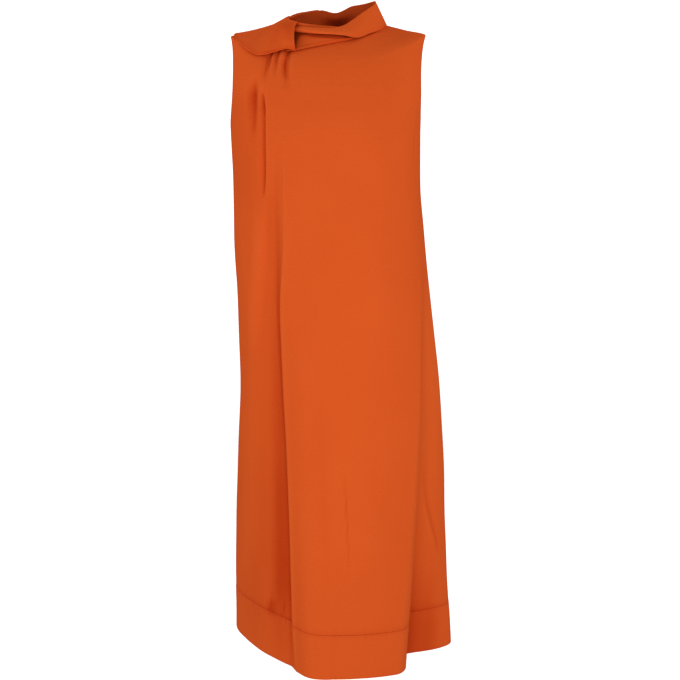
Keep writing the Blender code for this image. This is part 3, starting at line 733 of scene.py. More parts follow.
def smooth_rows(table, names, at):
    """Columns of a table at new values of its first, on smooth curves that overshoot no row."""
    rows = np.array(sorted(table), float)
    key = rows[:, 0]
    span = np.diff(key)[:, None]
    rise = np.diff(rows, axis=0) / span
    before, after = rise[:-1], rise[1:]
    same_way = before * after > 0
    weight_before, weight_after = span[:-1] + 2 * span[1:], 2 * span[:-1] + span[1:]
    share_before = weight_before / np.where(same_way, before, 1.0)
    share_after = weight_after / np.where(same_way, after, 1.0)
    mean = (weight_before + weight_after) / (share_before + share_after)
    slopes = np.concatenate([rise[:1], np.where(same_way, mean, 0.0), rise[-1:]])
    at = np.clip(np.atleast_1d(np.asarray(at, float)), key[0], key[-1])
    i = np.clip(np.searchsorted(key, at, side="right") - 1, 0, len(key) - 2)
    step = (key[i + 1] - key[i])[:, None]
    t = (at - key[i])[:, None] / step
    values = (
        (2 * t**3 - 3 * t**2 + 1) * rows[i]
        + (t**3 - 2 * t**2 + t) * step * slopes[i]
        + (3 * t**2 - 2 * t**3) * rows[i + 1]
        + (t**3 - t**2) * step * slopes[i + 1]
    )
    return dict(zip(names, values.T))


def one_row(columns, i=0):
    """One row of the columns of a table."""
    return {name: column[i] for name, column in columns.items()}


def way_along(points, axis=0):
    """How far along its line each point lies, on one line or on each line of a grid."""
    way = np.cumsum(np.linalg.norm(np.diff(points, axis=axis), axis=-1), axis=axis)
    return np.concatenate([np.zeros_like(way.take([0], axis)), way], axis=axis)


def ring_points(level, turn):
    """Points of the unfolded body at a level, at angles from the right side by the front."""
    plan = one_row(smooth_rows(PLAN, PLAN_COLUMNS, level))
    rise = one_row(smooth_rows(RISE, RISE_COLUMNS, level))
    turn = np.radians(np.asarray(turn, float))
    across, along = np.cos(turn), np.sin(turn)
    right, front = across >= 0, along >= 0
    square_front = np.where(right, rise["square_front_right"], rise["square_front_left"])
    square = np.where(front, square_front, rise["square_back"])
    side_x = np.where(right, plan["right_x"], plan["left_x"])
    side_y = np.where(right, plan["right_y"], plan["left_y"])
    side_z = np.where(right, rise["right_z"], rise["left_z"])
    end_x = np.where(front, plan["front_x"], plan["back_x"])
    end_y = np.where(front, plan["front_y"], plan["back_y"])
    end_z = np.where(front, rise["front_z"], rise["back_z"])
    across, along = np.abs(across), np.abs(along)
    x = end_x + (side_x - end_x) * across ** (2 / square)
    y = side_y + (end_y - side_y) * along ** (2 / square)
    z = side_z + (end_z - side_z) * along ** rise["dip"]
    return np.stack([x, y, z], axis=-1)


def half_ring(half, level):
    """Half a ring, from one side to the other: shares of its length, points and length."""
    start = 0.0 if half == "front" else 180.0
    points = ring_points(level, np.linspace(start, start + 180.0, 2 * RING_STEPS + 1))
    along = way_along(points)
    return along / along[-1], points, along[-1]


def share_at_x(half, ring, x):
    """Where along half a ring its points have a given x."""
    shares, points, _ = ring
    order = -1 if half == "front" else 1
    return np.interp(x, points[::order, 0], shares[::order])


def valley(distance, rise, run, crisp):
    """How deep in a valley a point is, 0 to 1: down over the rise, and back up over the run."""
    down = np.clip(distance / rise, 0.0, 1.0)
    back = np.clip((distance - rise) / run, 0.0, 1.0)
    fall = crisp * np.sin(down * math.pi / 2) + (1 - crisp) * eased(down)
    return fall * (1 - eased(back))


def edge_share(half, level, length):
    """Share of half a ring that the armhole takes on each side."""
    middle = (TIP_LEVEL + UNDERARM_LEVEL) / 2
    off_middle = (level - middle) / (TIP_LEVEL - middle)
    width = ARMHOLE_FRONT if half == "front" else ARMHOLE_BACK
    return width * math.sqrt(max(0.0, 1.0 - off_middle**2)) / length


def panel_shares(half, level, ring):
    """Shares of a panel's columns at a level, evenly between its edges and guides."""
    edge = edge_share(half, level, ring[2])
    if half == "back":
        return np.linspace(edge, 1 - edge, BACK_COLUMNS + 1)
    guide = smooth_rows(GUIDES, GUIDE_COLUMNS, level)
    stops = [edge]
    stops += [share_at_x(half, ring, guide[name][0]) for name in GUIDE_COLUMNS[1:]]
    stops += [1 - edge]
    parts = [
        np.linspace(stops[k], stops[k + 1], count + 1)[:-1]
        for k, count in enumerate(FRONT_COLUMNS)
    ]
    return np.concatenate(parts + [[1 - edge]])


def body_grid(half, levels, shares_at=panel_shares):
    """Grid of points of the folded body, a row for each level."""
    folds = FRONT_FOLDS + FRONT_CREASES if half == "front" else BACK_FOLDS + BACK_CREASES
    fold_rows = [(towards, smooth_rows(table, FOLD_COLUMNS, levels)) for towards, table in folds]
    uneven = smooth_rows(UNEVEN, UNEVEN_COLUMNS, levels)["amount"]
    rows = []
    for i, level in enumerate(levels):
        ring = half_ring(half, level)
        ring_shares, points, length = ring
        shares = shares_at(half, level, ring)
        row = np.stack([np.interp(shares, ring_shares, points[:, k]) for k in range(3)], axis=-1)
        tangent = np.gradient(points[:, :2], axis=0)
        tangent = np.stack([np.interp(shares, ring_shares, tangent[:, k]) for k in range(2)], -1)
        tangent /= np.linalg.norm(tangent, axis=-1, keepdims=True)
        depth = np.zeros(len(shares))
        for towards, fold in fold_rows:
            at = one_row(fold, i)
            distance = (shares - share_at_x(half, ring, at["x"])) * length
            distance = distance + at["rise"] if towards == ABOUT else distance * towards
            depth += at["depth"] * valley(distance, at["rise"], at["run"], at["crisp"])
        start = 0.0 if half == "front" else 0.5
        for round_body, up_body, phase, share in WAVES:
            angle = 2 * math.pi * (round_body * (start + shares / 2) + up_body * level) + phase
            depth += uneven[i] * share * np.sin(angle)
        gathered_at = share_at_x(half, ring, PUCKER_GATHER_X) * length
        depth += puckers(half, level, shares * length, gathered_at)
        row[:, 0] += tangent[:, 1] * depth
        row[:, 1] -= tangent[:, 0] * depth
        rows.append(row)
    return np.array(rows)


def fold_shade(half, levels):
    """How much painted shade the folds put on each point of a panel's grid, from the tables of
    shades.
    """
    grid = []
    for level in levels:
        ring = half_ring(half, level)
        place = np.interp(panel_shares(half, level, ring), ring[0], ring[1][:, 0])
        shade = np.zeros(len(place))
        for table in FRONT_SHADES if half == "front" else ():
            at = one_row(smooth_rows(table, SHADE_COLUMNS, level))
            begin = np.clip((place - at["from_x"]) / at["fade_from"] + 1, 0.0, 1.0)
            end = np.clip((at["to_x"] - place) / at["fade_to"] + 1, 0.0, 1.0)
            shade += at["amount"] * eased(begin) * eased(end)
        grid.append(shade)
    return np.array(grid)


def puckers(half, level, along, gathered_at):
    """Depth of the puckers beside the hem seam at points along a ring."""
    reach = math.exp(-(((level - BAND_LEVEL) / PUCKER_REACH) ** 2))
    gather = np.ones(len(along))
    if half == "front":
        gather += PUCKER_GATHER * np.exp(-(((along - gathered_at) / PUCKER_SPREAD) ** 2))
    waves = sum(
        np.sin(2 * math.pi * along / pitch + PUCKER_PHASE * pitch / PUCKER_REACH)
        for pitch in PUCKER_PITCH
    )
    return PUCKER_DEPTH * reach * gather * waves


def armhole_levels(count):
    """Levels up the armhole, closer together at its ends, where it turns in."""
    swing = np.cos(np.linspace(math.pi, 0, count))
    return (UNDERARM_LEVEL + TIP_LEVEL) / 2 + (TIP_LEVEL - UNDERARM_LEVEL) / 2 * swing


def panel_levels():
    """Levels of a panel's rows, up the skirt, the armhole and the shoulder."""
    skirt = np.linspace(BAND_LEVEL, UNDERARM_LEVEL, SKIRT_ROWS + 1)[:-1]
    armhole = armhole_levels(ARMHOLE_ROWS + 1)[:-1]
    shoulder = np.linspace(TIP_LEVEL, NECK_LEVEL, SHOULDER_ROWS + 1)
    return np.concatenate([skirt, armhole, shoulder])


def grid_normals(points):
    """Unit normals of a grid of points, from its own rows and columns."""
    normal = np.cross(np.gradient(points, axis=0), np.gradient(points, axis=1))
    return normal / np.linalg.norm(normal, axis=-1, keepdims=True)


def neckline(turn):
    """Points of the neckline and the level direction straight out from it."""
    aside = 0.5  # degrees
    points = ring_points(NECK_LEVEL, turn)
    ahead, behind = ring_points(NECK_LEVEL, turn + aside), ring_points(NECK_LEVEL, turn - aside)
    tangent = (ahead - behind)[:, :2]
    outward = np.stack([-tangent[:, 1], tangent[:, 0], np.zeros(len(turn))], axis=-1)
    return points, outward / np.linalg.norm(outward, axis=-1, keepdims=True)


def from_neckline(turn, out, up):
    """Points that lie out and up from the neckline."""
    points, outward = neckline(turn)
    return points + outward * out[:, None] + UP * up[:, None]


def through_three(first, middle, last, steps):
    """Grid on the smooth curves through three edges of a strip, at these steps from 0 to 1."""
    t = np.asarray(steps)[:, None, None]
    return first * (1 - t) * (1 - 2 * t) + middle * 4 * t * (1 - t) + last * t * (2 * t - 1)


def collar_band_grid(turn):
    """Grid of the collar band at these turns, from its base to its top edge."""
    row = smooth_rows(COLLAR_BAND, BAND_COLUMNS, turn)
    base = from_neckline(turn, row["base_out"], row["base_up"])
    top = from_neckline(turn, row["top_out"], row["top_up"])
    middle = (base + top) / 2 + neckline(turn)[1] * row["bulge"][:, None]
    return through_three(base, middle, top, np.linspace(0, 1, COLLAR_ROWS + 1))


def band_pocket(up, along):
    """Shade in the narrow pocket inside the band, where its front end rises over its back."""
    start, end = COLLAR_BAND[0][0], COLLAR_BAND[-1][0]
    turn, top, bottom, width = BAND_POCKET
    beside = np.exp(-(((start + (end - start) * along - turn) / width) ** 2))
    down = np.clip((top - up) / (top - bottom), 0.0, 1.0)
    return beside * eased(down)


def off_body(turn, level, lift):
    """Points lifted straight off the unfolded body, one for each turn and level."""
    aside, nudge = 1.0, 0.0006  # degrees round and metres up, which tell how the body slopes
    points = []
    for angle, height, away in zip(turn, level, lift):
        along = ring_points(height, angle + aside) - ring_points(height, angle - aside)
        up = ring_points(height + nudge, angle) - ring_points(height - nudge, angle)
        normal = np.cross(up, along)
        points.append(ring_points(height, angle) + normal / np.linalg.norm(normal) * away)
    return np.array(points)


def steps_to_rim(rows, rim_share):
    """Steps from 0 to 1 that are finer over the last share of the way, beside the rim."""
    wide = np.linspace(0, 1 - rim_share, rows + 1)
    return np.concatenate([wide[:-1], np.linspace(1 - rim_share, 1, RIM_ROWS + 1)])


def rolled_rim(grid):
    """The grid with its last rows lifted into a narrow rolled hem."""
    way = way_along(grid[::-1])[::-1]
    lift = ROLL_HEIGHT * np.exp(-(((way - ROLL_INSET) / ROLL_WIDTH) ** 2))
    lift -= GROOVE_DEPTH * np.exp(-(((way - GROOVE_INSET) / ROLL_WIDTH) ** 2))
    return grid + grid_normals(grid) * lift[..., None]


def fall_shade(rows, columns):
    """How much painted shade the band's outer strip casts on each point of the fall's grid."""
    turn = np.linspace(COLLAR_FALL[0][0], COLLAR_FALL[-1][0], columns)
    amount = smooth_rows(FALL_SHADE, FALL_SHADE_COLUMNS, turn)
    down = (np.arange(rows) / (rows - 1))[:, None]
    fade = np.clip((amount["reach"] - down) / FALL_SHADE_FADE + 1, 0.0, 1.0)
    return amount["amount"] * eased(fade)


def collar_fall_grid():
    """Grid of the collar fall, from behind the band to its rim."""
    turn = np.linspace(COLLAR_FALL[0][0], COLLAR_FALL[-1][0], FALL_STATIONS + 1)
    row = smooth_rows(COLLAR_FALL, FALL_COLUMNS, turn)
    top = from_neckline(turn, row["top_out"], row["top_up"])
    middle = from_neckline(turn, row["neck_out"], row["neck_up"])
    rim = off_body(row["rim_turn"], row["rim_level"], row["lift"])
    return rolled_rim(through_three(top, middle, rim, steps_to_rim(FALL_ROWS, FALL_RIM_SHARE)))


def collar_flap_grid():
    """Grid of the collar flap, from the outside of the band's top edge to its rim."""
    start, end = COLLAR_FLAP[0][0], COLLAR_FLAP[-1][0]
    strip = np.linspace(start, start + FLAP_STRIP_TURN, FLAP_STRIP_STATIONS + 1)
    turn = np.concatenate([strip, np.linspace(strip[-1], end, FLAP_STATIONS + 1)[1:]])
    row = smooth_rows(COLLAR_FLAP, FLAP_COLUMNS, turn)
    band = collar_band_grid(turn)
    top = band[-1] + FLAP_SEAT * grid_normals(band)[-1]
    rim = off_body(row["rim_turn"], row["rim_level"], row["lift"])
    out_and_up = (neckline(turn)[1] + UP) / math.sqrt(2)
    middle = (top + rim) / 2 + out_and_up * row["bulge"][:, None]
    grid = rolled_rim(through_three(top, middle, rim, steps_to_rim(FLAP_ROWS, FLAP_RIM_SHARE)))
    groove = np.exp(-(((way_along(grid, axis=1) - STRIP_WIDTH) / ROLL_WIDTH) ** 2))
    return grid - grid_normals(grid) * (GROOVE_DEPTH * groove)[..., None]


def hollowness(points):
    """How hollow a grid is at each point, from points on either side of it along its row and its
    column: 1 in a deep hollow, -1 on a sharp crest."""
    outward = grid_normals(points)
    hollow = np.zeros(points.shape[:2])
    for axis in (0, 1):
        lines, normals = np.moveaxis(points, axis, 0), np.moveaxis(outward, axis, 0)
        ways = way_along(lines)
        bend = np.zeros(ways.shape)
        for reach in HOLLOW_REACH:
            for j, way in enumerate(ways.T):
                line = lines[:, j]
                before, after = (
                    np.stack([np.interp(way + step, way, line[:, k]) for k in range(3)], axis=-1)
                    for step in (-reach, reach)
                )
                rise = (before + after) / 2 - line
                bend[:, j] += np.sum(rise * normals[:, j], axis=-1) / reach
        hollow += bend.T if axis else bend
    return np.clip(hollow * HOLLOW_GAIN / len(HOLLOW_REACH), -1.0, 1.0)


def with_lengths(points, shade=0.0):
    """A grid with six more numbers a point: its way along its row and column, its distance from
    the nearer end of each, how hollow it is and how shaded."""
    along, up = way_along(points, axis=1), way_along(points)
    from_side = np.minimum(along, along[:, -1:] - along)
    from_end = np.minimum(up, up[-1:] - up)
    middle = along[:, points.shape[1] // 2][:, None]
    even_up = np.broadcast_to(np.median(up, axis=1)[:, None], up.shape)
    hollow = hollowness(points)
    shade = np.broadcast_to(shade, up.shape)
    extra = np.stack([along - middle, even_up, from_side, from_end, hollow, shade], axis=-1)
    return np.concatenate([points, extra], axis=-1)


def with_rims(grid, radius):
    """A grid with lines added close to its borders, where its cloth is rounded off."""
    for axis in (0, 1):
        lines = np.moveaxis(grid, axis, 0)
        start, end = [], []
        for step in RIM_IN:
            for first, second, out in ((lines[0], lines[1], start), (lines[-1], lines[-2], end)):
                gap = np.linalg.norm(second[:, :3] - first[:, :3], axis=-1, keepdims=True)
                share = np.minimum(step * radius / gap, RIM_LIMIT * step)
                out.append(first + (second - first) * share)
        lines = np.stack([lines[0], *start, *lines[1:-1], *end[::-1], lines[-1]])
        grid = np.moveaxis(lines, 0, axis)
    return grid


def rim_thickness(count):
    """Share of the full thickness on each line of a grid with rims."""
    share = np.ones(count)
    share[: len(RIM_THICK)] = RIM_THICK
    share[-len(RIM_THICK):] = RIM_THICK[::-1]
    return share


def cloth_piece(name, points, thickness, material, shade=0.0, pocket=None):
    """A closed thin shell of cloth on a grid, with rounded edges, its lengths as UVs and its
    distances from the edges as attributes. Pocket gives the shade on the wearer's side for shares
    of the way up and along."""
    grid = with_rims(with_lengths(points, shade), thickness / 2)
    rows, columns = grid.shape[:2]
    normals = grid_normals(grid[..., :3])
    share = np.minimum(rim_thickness(rows)[:, None], rim_thickness(columns)[None, :])
    offset = normals * (share * thickness / 2)[..., None]
    outer = np.arange(rows * columns).reshape(rows, columns)
    inner = outer.copy()
    inner[1:-1, 1:-1] = rows * columns + np.arange((rows - 2) * (columns - 2)).reshape(
        rows - 2, columns - 2
    )
    corners = np.concatenate([
        (grid[..., :3] + offset).reshape(-1, 3),
        (grid[..., :3] - offset)[1:-1, 1:-1].reshape(-1, 3),
    ])
    stored = grid[..., 3:]
    count = stored.shape[-1]
    stored = np.concatenate([stored.reshape(-1, count), stored[1:-1, 1:-1].reshape(-1, count)])
    if pocket:
        up, along = np.linspace(0, 1, rows - 2)[:, None], np.linspace(0, 1, columns - 2)
        stored[rows * columns:, -1] = pocket(up, along).ravel()

    def quads(index):
        corners_of = (index[:-1, :-1], index[:-1, 1:], index[1:, 1:], index[1:, :-1])
        return np.stack(corners_of, axis=-1).reshape(-1, 4)

    faces = np.concatenate([quads(outer)[:, ::-1], quads(inner)])
    first, second, third, fourth = (corners[faces[:, k]] for k in range(4))
    volume = np.sum(first * np.cross(second, third)) + np.sum(first * np.cross(third, fourth))
    if volume < 0:
        faces = faces[:, ::-1]
    mesh = bpy.data.meshes.new(name)
    mesh.from_pydata(corners.tolist(), [], faces.tolist())
    mesh.shade_smooth()
    uv = mesh.uv_layers.new(name="cloth")
    uv.data.foreach_set("uv", stored[faces.ravel(), :2].ravel())
    for k, label in enumerate(MARKS, start=2):
        attribute = mesh.attributes.new(label, "FLOAT", "POINT")
        attribute.data.foreach_set("value", stored[:, k].astype(np.float32))
    for label in ("shelter", "inside"):
        mesh.attributes.new(label, "FLOAT", "POINT")
    mesh.materials.append(material)
    piece = bpy.data.objects.new(name, mesh)
    piece["rows"], piece["columns"] = rows, columns
    bpy.context.scene.collection.objects.link(piece)
    return piece


def round_about(normals):
    """Directions all round each normal, closer together towards it, where more light comes from."""
    k = np.arange(SHELTER_RAYS) + 0.5
    turn, across = k * GOLDEN_ANGLE, np.sqrt(k / SHELTER_RAYS)
    ball = np.stack([across * np.cos(turn), across * np.sin(turn), np.sqrt(1 - across**2)])
    # any axis will do that doesn't lie along the normal
    other = np.where(np.abs(normals[:, 2:]) < 0.9, [[0.0, 0.0, 1.0]], [[1.0, 0.0, 0.0]])
    side = np.cross(other, normals)
    side /= np.linalg.norm(side, axis=-1, keepdims=True)
    frames = np.stack([side, np.cross(normals, side), normals], axis=1)
    return np.einsum("kr,nkx->nrx", ball, frames)


def softened(grid):
    """A grid of numbers, each evened out with its neighbours."""
    for axis in (0, 1):
        padded = np.concatenate([grid.take([0], axis), grid, grid.take([-1], axis)], axis)
        count = grid.shape[axis]
        before, after = (padded.take(range(k, k + count), axis) for k in (0, 2))
        grid = (before + 2 * grid + after) / 4
    return grid


def cloth_ahead(places, normals, cloth):
    """How far away the cloth in front of each place is, on every way round its normal."""
    away = np.full((len(places), SHELTER_RAYS), INSIDE_REACH)
    starts = places + normals * SHELTER_START
    for i, (start, rays) in enumerate(zip(starts.tolist(), round_about(normals).tolist())):
        for j, ray in enumerate(rays):
            away[i, j] = cloth.ray_cast(start, ray, INSIDE_REACH)[3] or INSIDE_REACH
    return away


def mark_shelter(piece, cloth):
    """Writes on a piece, 0 to 1 at each point, how much other cloth lies close in front of it and,
    on the wearer's side, how far it is inside the dress."""
    mesh, rows, columns = piece.data, piece["rows"], piece["columns"]
    places, normals = np.zeros((2, len(mesh.vertices) * 3), np.float32)
    mesh.vertices.foreach_get("co", places)
    mesh.vertices.foreach_get("normal", normals)
    places, normals = places.reshape(-1, 3).astype(float), normals.reshape(-1, 3).astype(float)
    close, inside, first = [], [], 0
    for high, wide in ((rows, columns), (rows - 2, columns - 2)):
        index = first + np.arange(high * wide).reshape(high, wide)
        first += high * wide
        some_rows = np.unique(np.append(np.arange(0, high, SHELTER_STEP), high - 1))
        some_columns = np.unique(np.append(np.arange(0, wide, SHELTER_STEP), wide - 1))
        chosen = index[np.ix_(some_rows, some_columns)].ravel()
        away = cloth_ahead(places[chosen], normals[chosen], cloth)
        for reach, found, power in ((SHELTER_REACH, close, 2), (INSIDE_REACH, inside, 1)):
            share = np.mean(np.clip(1 - away / reach, 0.0, 1.0), axis=1)
            share = softened(share.reshape(len(some_rows), len(some_columns)))
            across = np.array([np.interp(np.arange(wide), some_columns, row) for row in share])
            full = np.array([np.interp(np.arange(high), some_rows, line) for line in across.T]).T
            found.append(full.ravel() ** power)
    inside[0] *= 0.0  # only the side towards the wearer is inside
    for label, found in (("shelter", close), ("inside", inside)):
        mesh.attributes[label].data.foreach_set("value", np.concatenate(found).astype(np.float32))


def finish_cloth(piece, node):
    """Hands a piece of cloth to the frame: what it replaces and rides on."""
    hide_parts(node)
    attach(piece, "root")


class Nodes:
    """Short calls for the nodes and links of one tree."""

    def __init__(self, tree):
        self.tree = tree

    def add(self, kind, inputs=None, **settings):
        """A node with these settings and inputs, each a value or another node's output."""
        node = self.tree.nodes.new(kind)
        for key, value in settings.items():
            setattr(node, key, value)
        for key, value in (inputs or {}).items():
            self.give(node, key, value)
        return node

    def give(self, node, key, value):
        """Gives an input of a node a value or another node's output."""
        if isinstance(value, bpy.types.NodeSocket):
            self.tree.links.new(value, node.inputs[key])
        else:
            node.inputs[key].default_value = value

    def math(self, operation, first, second, clamp=False):
        """One sum, on outputs or numbers."""
        return self.add(
            "ShaderNodeMath", {0: first, 1: second}, operation=operation, use_clamp=clamp,
        ).outputs[0]

    def total(self, start, *parts, clamp=False):
        """A number plus these outputs, each times its share."""
        for part, share in parts:
            start = self.math("ADD", start, self.math("MULTIPLY", part, share))
        return self.math("ADD", start, 0.0, clamp=clamp)

    def ramp(self, value, start, end, at_start, at_end):
        """An output that goes from one number to another while a value goes from start to end."""
        return self.add("ShaderNodeMapRange", {
            "Value": value, "From Min": start, "From Max": end,
            "To Min": at_start, "To Max": at_end,
        }).outputs[0]

    def stored(self, name):
        """A number that is stored on the points of the cloth."""
        return self.add("ShaderNodeAttribute", attribute_name=name).outputs["Fac"]

    def noise(self, place, scale, detail, roughness=0.5):
        """Cloudy noise over the flat cloth."""
        return self.add("ShaderNodeTexNoise", {
            "Vector": place, "Scale": scale, "Detail": detail, "Roughness": roughness,
        }, noise_dimensions="2D").outputs["Fac"]

    def bump(self, height, strength, distance, under=None):
        """Relief of a height, laid over the relief under it."""
        node = self.add("ShaderNodeBump", {
            "Height": height, "Strength": strength, "Distance": distance,
        })
        if under is not None:
            self.give(node, "Normal", under)
        return node.outputs[0]

    def blend(self, share, first, second):
        """The first colour, taken over by the second by a share."""
        # of a Mix node's sockets, inputs 0, 6 and 7 and output 2 are those for colours
        return self.add(
            "ShaderNodeMix", {0: share, 6: first, 7: second}, data_type="RGBA",
        ).outputs[2]


def crepe_material():
    """Heavy matte crepe: woven threads, fine crinkles, soft mottling and a little sheen."""
    if "heavy_crepe" in bpy.data.materials:
        return bpy.data.materials["heavy_crepe"]
    look = bpy.context.scene.dress_crepe
    material = bpy.data.materials.new("heavy_crepe")
    material.use_nodes = True
    material.node_tree.nodes.clear()
    nodes = Nodes(material.node_tree)
    cloth = nodes.add("ShaderNodeUVMap", uv_map="cloth").outputs["UV"]

    # threads over and under, and the crinkles that the twisted yarn pulls up
    threads = {
        "Vector": cloth, "Scale": WAVE_LENGTH / look.thread / 2, "Distortion": 0.6, "Detail": 1.0,
    }
    warp, weft = (
        nodes.add("ShaderNodeTexWave", threads, bands_direction=way).outputs["Fac"] for way in "XY"
    )
    weave = nodes.math("MULTIPLY", nodes.math("ADD", warp, weft), 0.5)
    stretched = nodes.add("ShaderNodeMapping", {"Vector": cloth, "Scale": (1.0, 0.55, 1.0)})
    pebble = nodes.noise(stretched.outputs[0], 1.0 / look.pebble, detail=3.0, roughness=0.62)
    relief = nodes.total(0.0, (weave, WEAVE_RELIEF), (pebble, PEBBLE_RELIEF))

    # the cloth is a little slack, and its seams pucker beside every edge
    slack = nodes.noise(cloth, scale=62.0, detail=2.0)
    near_side, near_end = (
        nodes.ramp(nodes.stored(name), start=0.001, end=reach, at_start=1.0, at_end=0.0)
        for name, reach in (("from_side", 0.012), ("from_end", 0.010))
    )
    near = nodes.math("MAXIMUM", near_side, near_end)
    pucker = nodes.math("MULTIPLY", nodes.noise(cloth, scale=170.0, detail=1.0), near)
    bump = nodes.bump(slack, strength=0.5, distance=0.0012)
    bump = nodes.bump(pucker, strength=0.6, distance=0.0010, under=bump)
    bump = nodes.bump(relief, strength=0.8, distance=look.relief, under=bump)

    # the colour is deeper between the threads and beside the edges, and softly mottled; painted
    # shade deepens it in hollows, under the folds and where other cloth is close
    mottle = nodes.noise(cloth, scale=7.5, detail=3.0, roughness=0.55)
    hollow, shade = nodes.stored("hollow"), nodes.stored("shade")
    deep = nodes.total(
        nodes.ramp(relief, start=0.25, end=0.75, at_start=0.42, at_end=0.0),
        (mottle, MOTTLE_DEEPENS),
        (nodes.math("MAXIMUM", hollow, 0.0), HOLLOW_SHADE),
        (nodes.stored("shelter"), look.shelter),
        (shade, 1.0),
        (near, EDGE_DEEPENS),
        clamp=True,
    )
    # painted highlight: sharp crests are lightened towards the crest highlight colour
    crest = nodes.math("MAXIMUM", nodes.math("MULTIPLY", hollow, -1.0), 0.0)
    crest = nodes.math("MULTIPLY", crest, CREST_HIGHLIGHT)
    colour = nodes.blend(crest, (*look.colour, 1.0), (*look.crest_highlight_colour, 1.0))
    colour = nodes.blend(deep, colour, (*look.deep_and_shade_colour, 1.0))

    # and darkened by painted shade deep inside the dress and in the collar's narrow pocket
    inside = nodes.stored("inside")
    dark = nodes.ramp(inside, INSIDE_BEGINS, INSIDE_FULL, at_start=0.0, at_end=INSIDE_DARKENS)
    pocket = nodes.math("MULTIPLY", nodes.math("GREATER_THAN", inside, POCKET_INSIDE), shade)
    dark = nodes.math("MAXIMUM", dark, nodes.math("MULTIPLY", pocket, POCKET_DARKENS))
    colour = nodes.blend(dark, colour, (*look.inside_shade_colour, 1.0))

    rough = nodes.ramp(relief, start=0.2, end=0.9, at_start=0.88, at_end=0.74)
    shader = nodes.add("ShaderNodeBsdfPrincipled", {
        "Base Color": colour, "Normal": bump, "Roughness": rough, "Specular IOR Level": 0.0,
        "Sheen Weight": look.sheen, "Sheen Roughness": 0.5, "Sheen Tint": (1.0, 0.50, 0.22, 1.0),
    })
    nodes.add("ShaderNodeOutputMaterial", {0: shader.outputs[0]})
    return material


def thread_material():
    """Matching sewing thread, twisted and a little glossier than the crepe."""
    if "sewing_thread" in bpy.data.materials:
        return bpy.data.materials["sewing_thread"]
    look = bpy.context.scene.dress_crepe
    material = bpy.data.materials.new("sewing_thread")
    material.use_nodes = True
    nodes = Nodes(material.node_tree)
    place = nodes.add("ShaderNodeTexCoord").outputs["Object"]
    twist = nodes.add(
        "ShaderNodeTexNoise", {"Vector": place, "Scale": 2600.0, "Detail": 1.0},
    ).outputs["Fac"]
    darker = (*[THREAD_COLOUR * part for part in look.colour], 1.0)
    shader = material.node_tree.nodes["Principled BSDF"]
    for key, value in (
        ("Base Color", nodes.blend(
            nodes.math("MULTIPLY", twist, TWIST_DEEPENS), darker, (*look.deep_and_shade_colour, 1.0),
        )),
        ("Normal", nodes.bump(twist, strength=0.5, distance=0.00008)),
        ("Roughness", 0.5),
        ("Specular IOR Level", 0.4),
    ):
        nodes.give(shader, key, value)
    return material


def stitch_tree():
    """Geometry nodes that lay stitches end to end along the lines of a mesh."""
    if "stitch_line" in bpy.data.node_groups:
        return bpy.data.node_groups["stitch_line"]
    tree = bpy.data.node_groups.new("stitch_line", "GeometryNodeTree")
    face = tree.interface
    face.new_socket("Geometry", in_out="INPUT", socket_type="NodeSocketGeometry")
    for name in ("Pitch", "Length", "Thickness"):
        face.new_socket(name, in_out="INPUT", socket_type="NodeSocketFloat")
    face.new_socket("Thread", in_out="INPUT", socket_type="NodeSocketMaterial")
    face.new_socket("Geometry", in_out="OUTPUT", socket_type="NodeSocketGeometry")
    nodes = Nodes(tree)
    given = nodes.add("NodeGroupInput").outputs
    line = nodes.add("GeometryNodeMeshToCurve", {"Mesh": given["Geometry"]})
    spots = nodes.add(
        "GeometryNodeCurveToPoints", {"Curve": line.outputs[0], "Length": given["Pitch"]},
        mode="LENGTH",
    ).outputs
    turn = nodes.add("FunctionNodeAlignRotationToVector", {"Vector": spots["Tangent"]}, axis="X")
    stitch = nodes.add("GeometryNodeMeshUVSphere", {"Segments": 6, "Rings": 5, "Radius": 0.5})
    size = nodes.add("ShaderNodeCombineXYZ", {
        "X": given["Length"], "Y": given["Thickness"], "Z": given["Thickness"],
    })
    laid = nodes.add("GeometryNodeInstanceOnPoints", {
        "Points": spots["Points"], "Instance": stitch.outputs["Mesh"],
        "Rotation": turn.outputs[0], "Scale": size.outputs[0],
    })
    real = nodes.add("GeometryNodeRealizeInstances", {"Geometry": laid.outputs[0]})
    smooth = nodes.add("GeometryNodeSetShadeSmooth", {"Geometry": real.outputs[0]})
    painted = nodes.add("GeometryNodeSetMaterial", {
        "Geometry": smooth.outputs[0], "Material": given["Thread"],
    })
    nodes.add("NodeGroupOutput", {0: painted.outputs[0]})
    return tree


def stitch_piece(name, lines):
    """A plain mesh of stitches along lines of points."""
    settings = bpy.context.scene.dress_stitches
    corners = np.concatenate(lines)
    edges, first = [], 0
    for line in lines:
        edges += [(first + k, first + k + 1) for k in range(len(line) - 1)]
        first += len(line)
    mesh = bpy.data.meshes.new(name + "_line")
    mesh.from_pydata(corners.tolist(), edges, [])
    guide = bpy.data.objects.new(name + "_line", mesh)
    bpy.context.scene.collection.objects.link(guide)
    modifier = guide.modifiers.new("stitches", "NODES")
    modifier.node_group = stitch_tree()
    values = {
        "Pitch": settings.pitch, "Length": settings.length, "Thickness": settings.thickness,
        "Thread": thread_material(),
    }
    for socket in modifier.node_group.interface.items_tree:
        if socket.in_out == "INPUT" and socket.name in values:
            modifier[socket.identifier] = values[socket.name]
    graph = bpy.context.evaluated_depsgraph_get()
    made = bpy.data.meshes.new_from_object(guide.evaluated_get(graph), depsgraph=graph)
    guide.modifiers.clear()
    bpy.data.objects.remove(guide)
    made.name = name
    piece = bpy.data.objects.new(name, made)
    bpy.context.scene.collection.objects.link(piece)
    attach(piece, "root")
    return piece


def lifted(grid, height, line):
    """One line of points of a grid, lifted off it along its normals."""
    return (grid + grid_normals(grid) * height)[line]


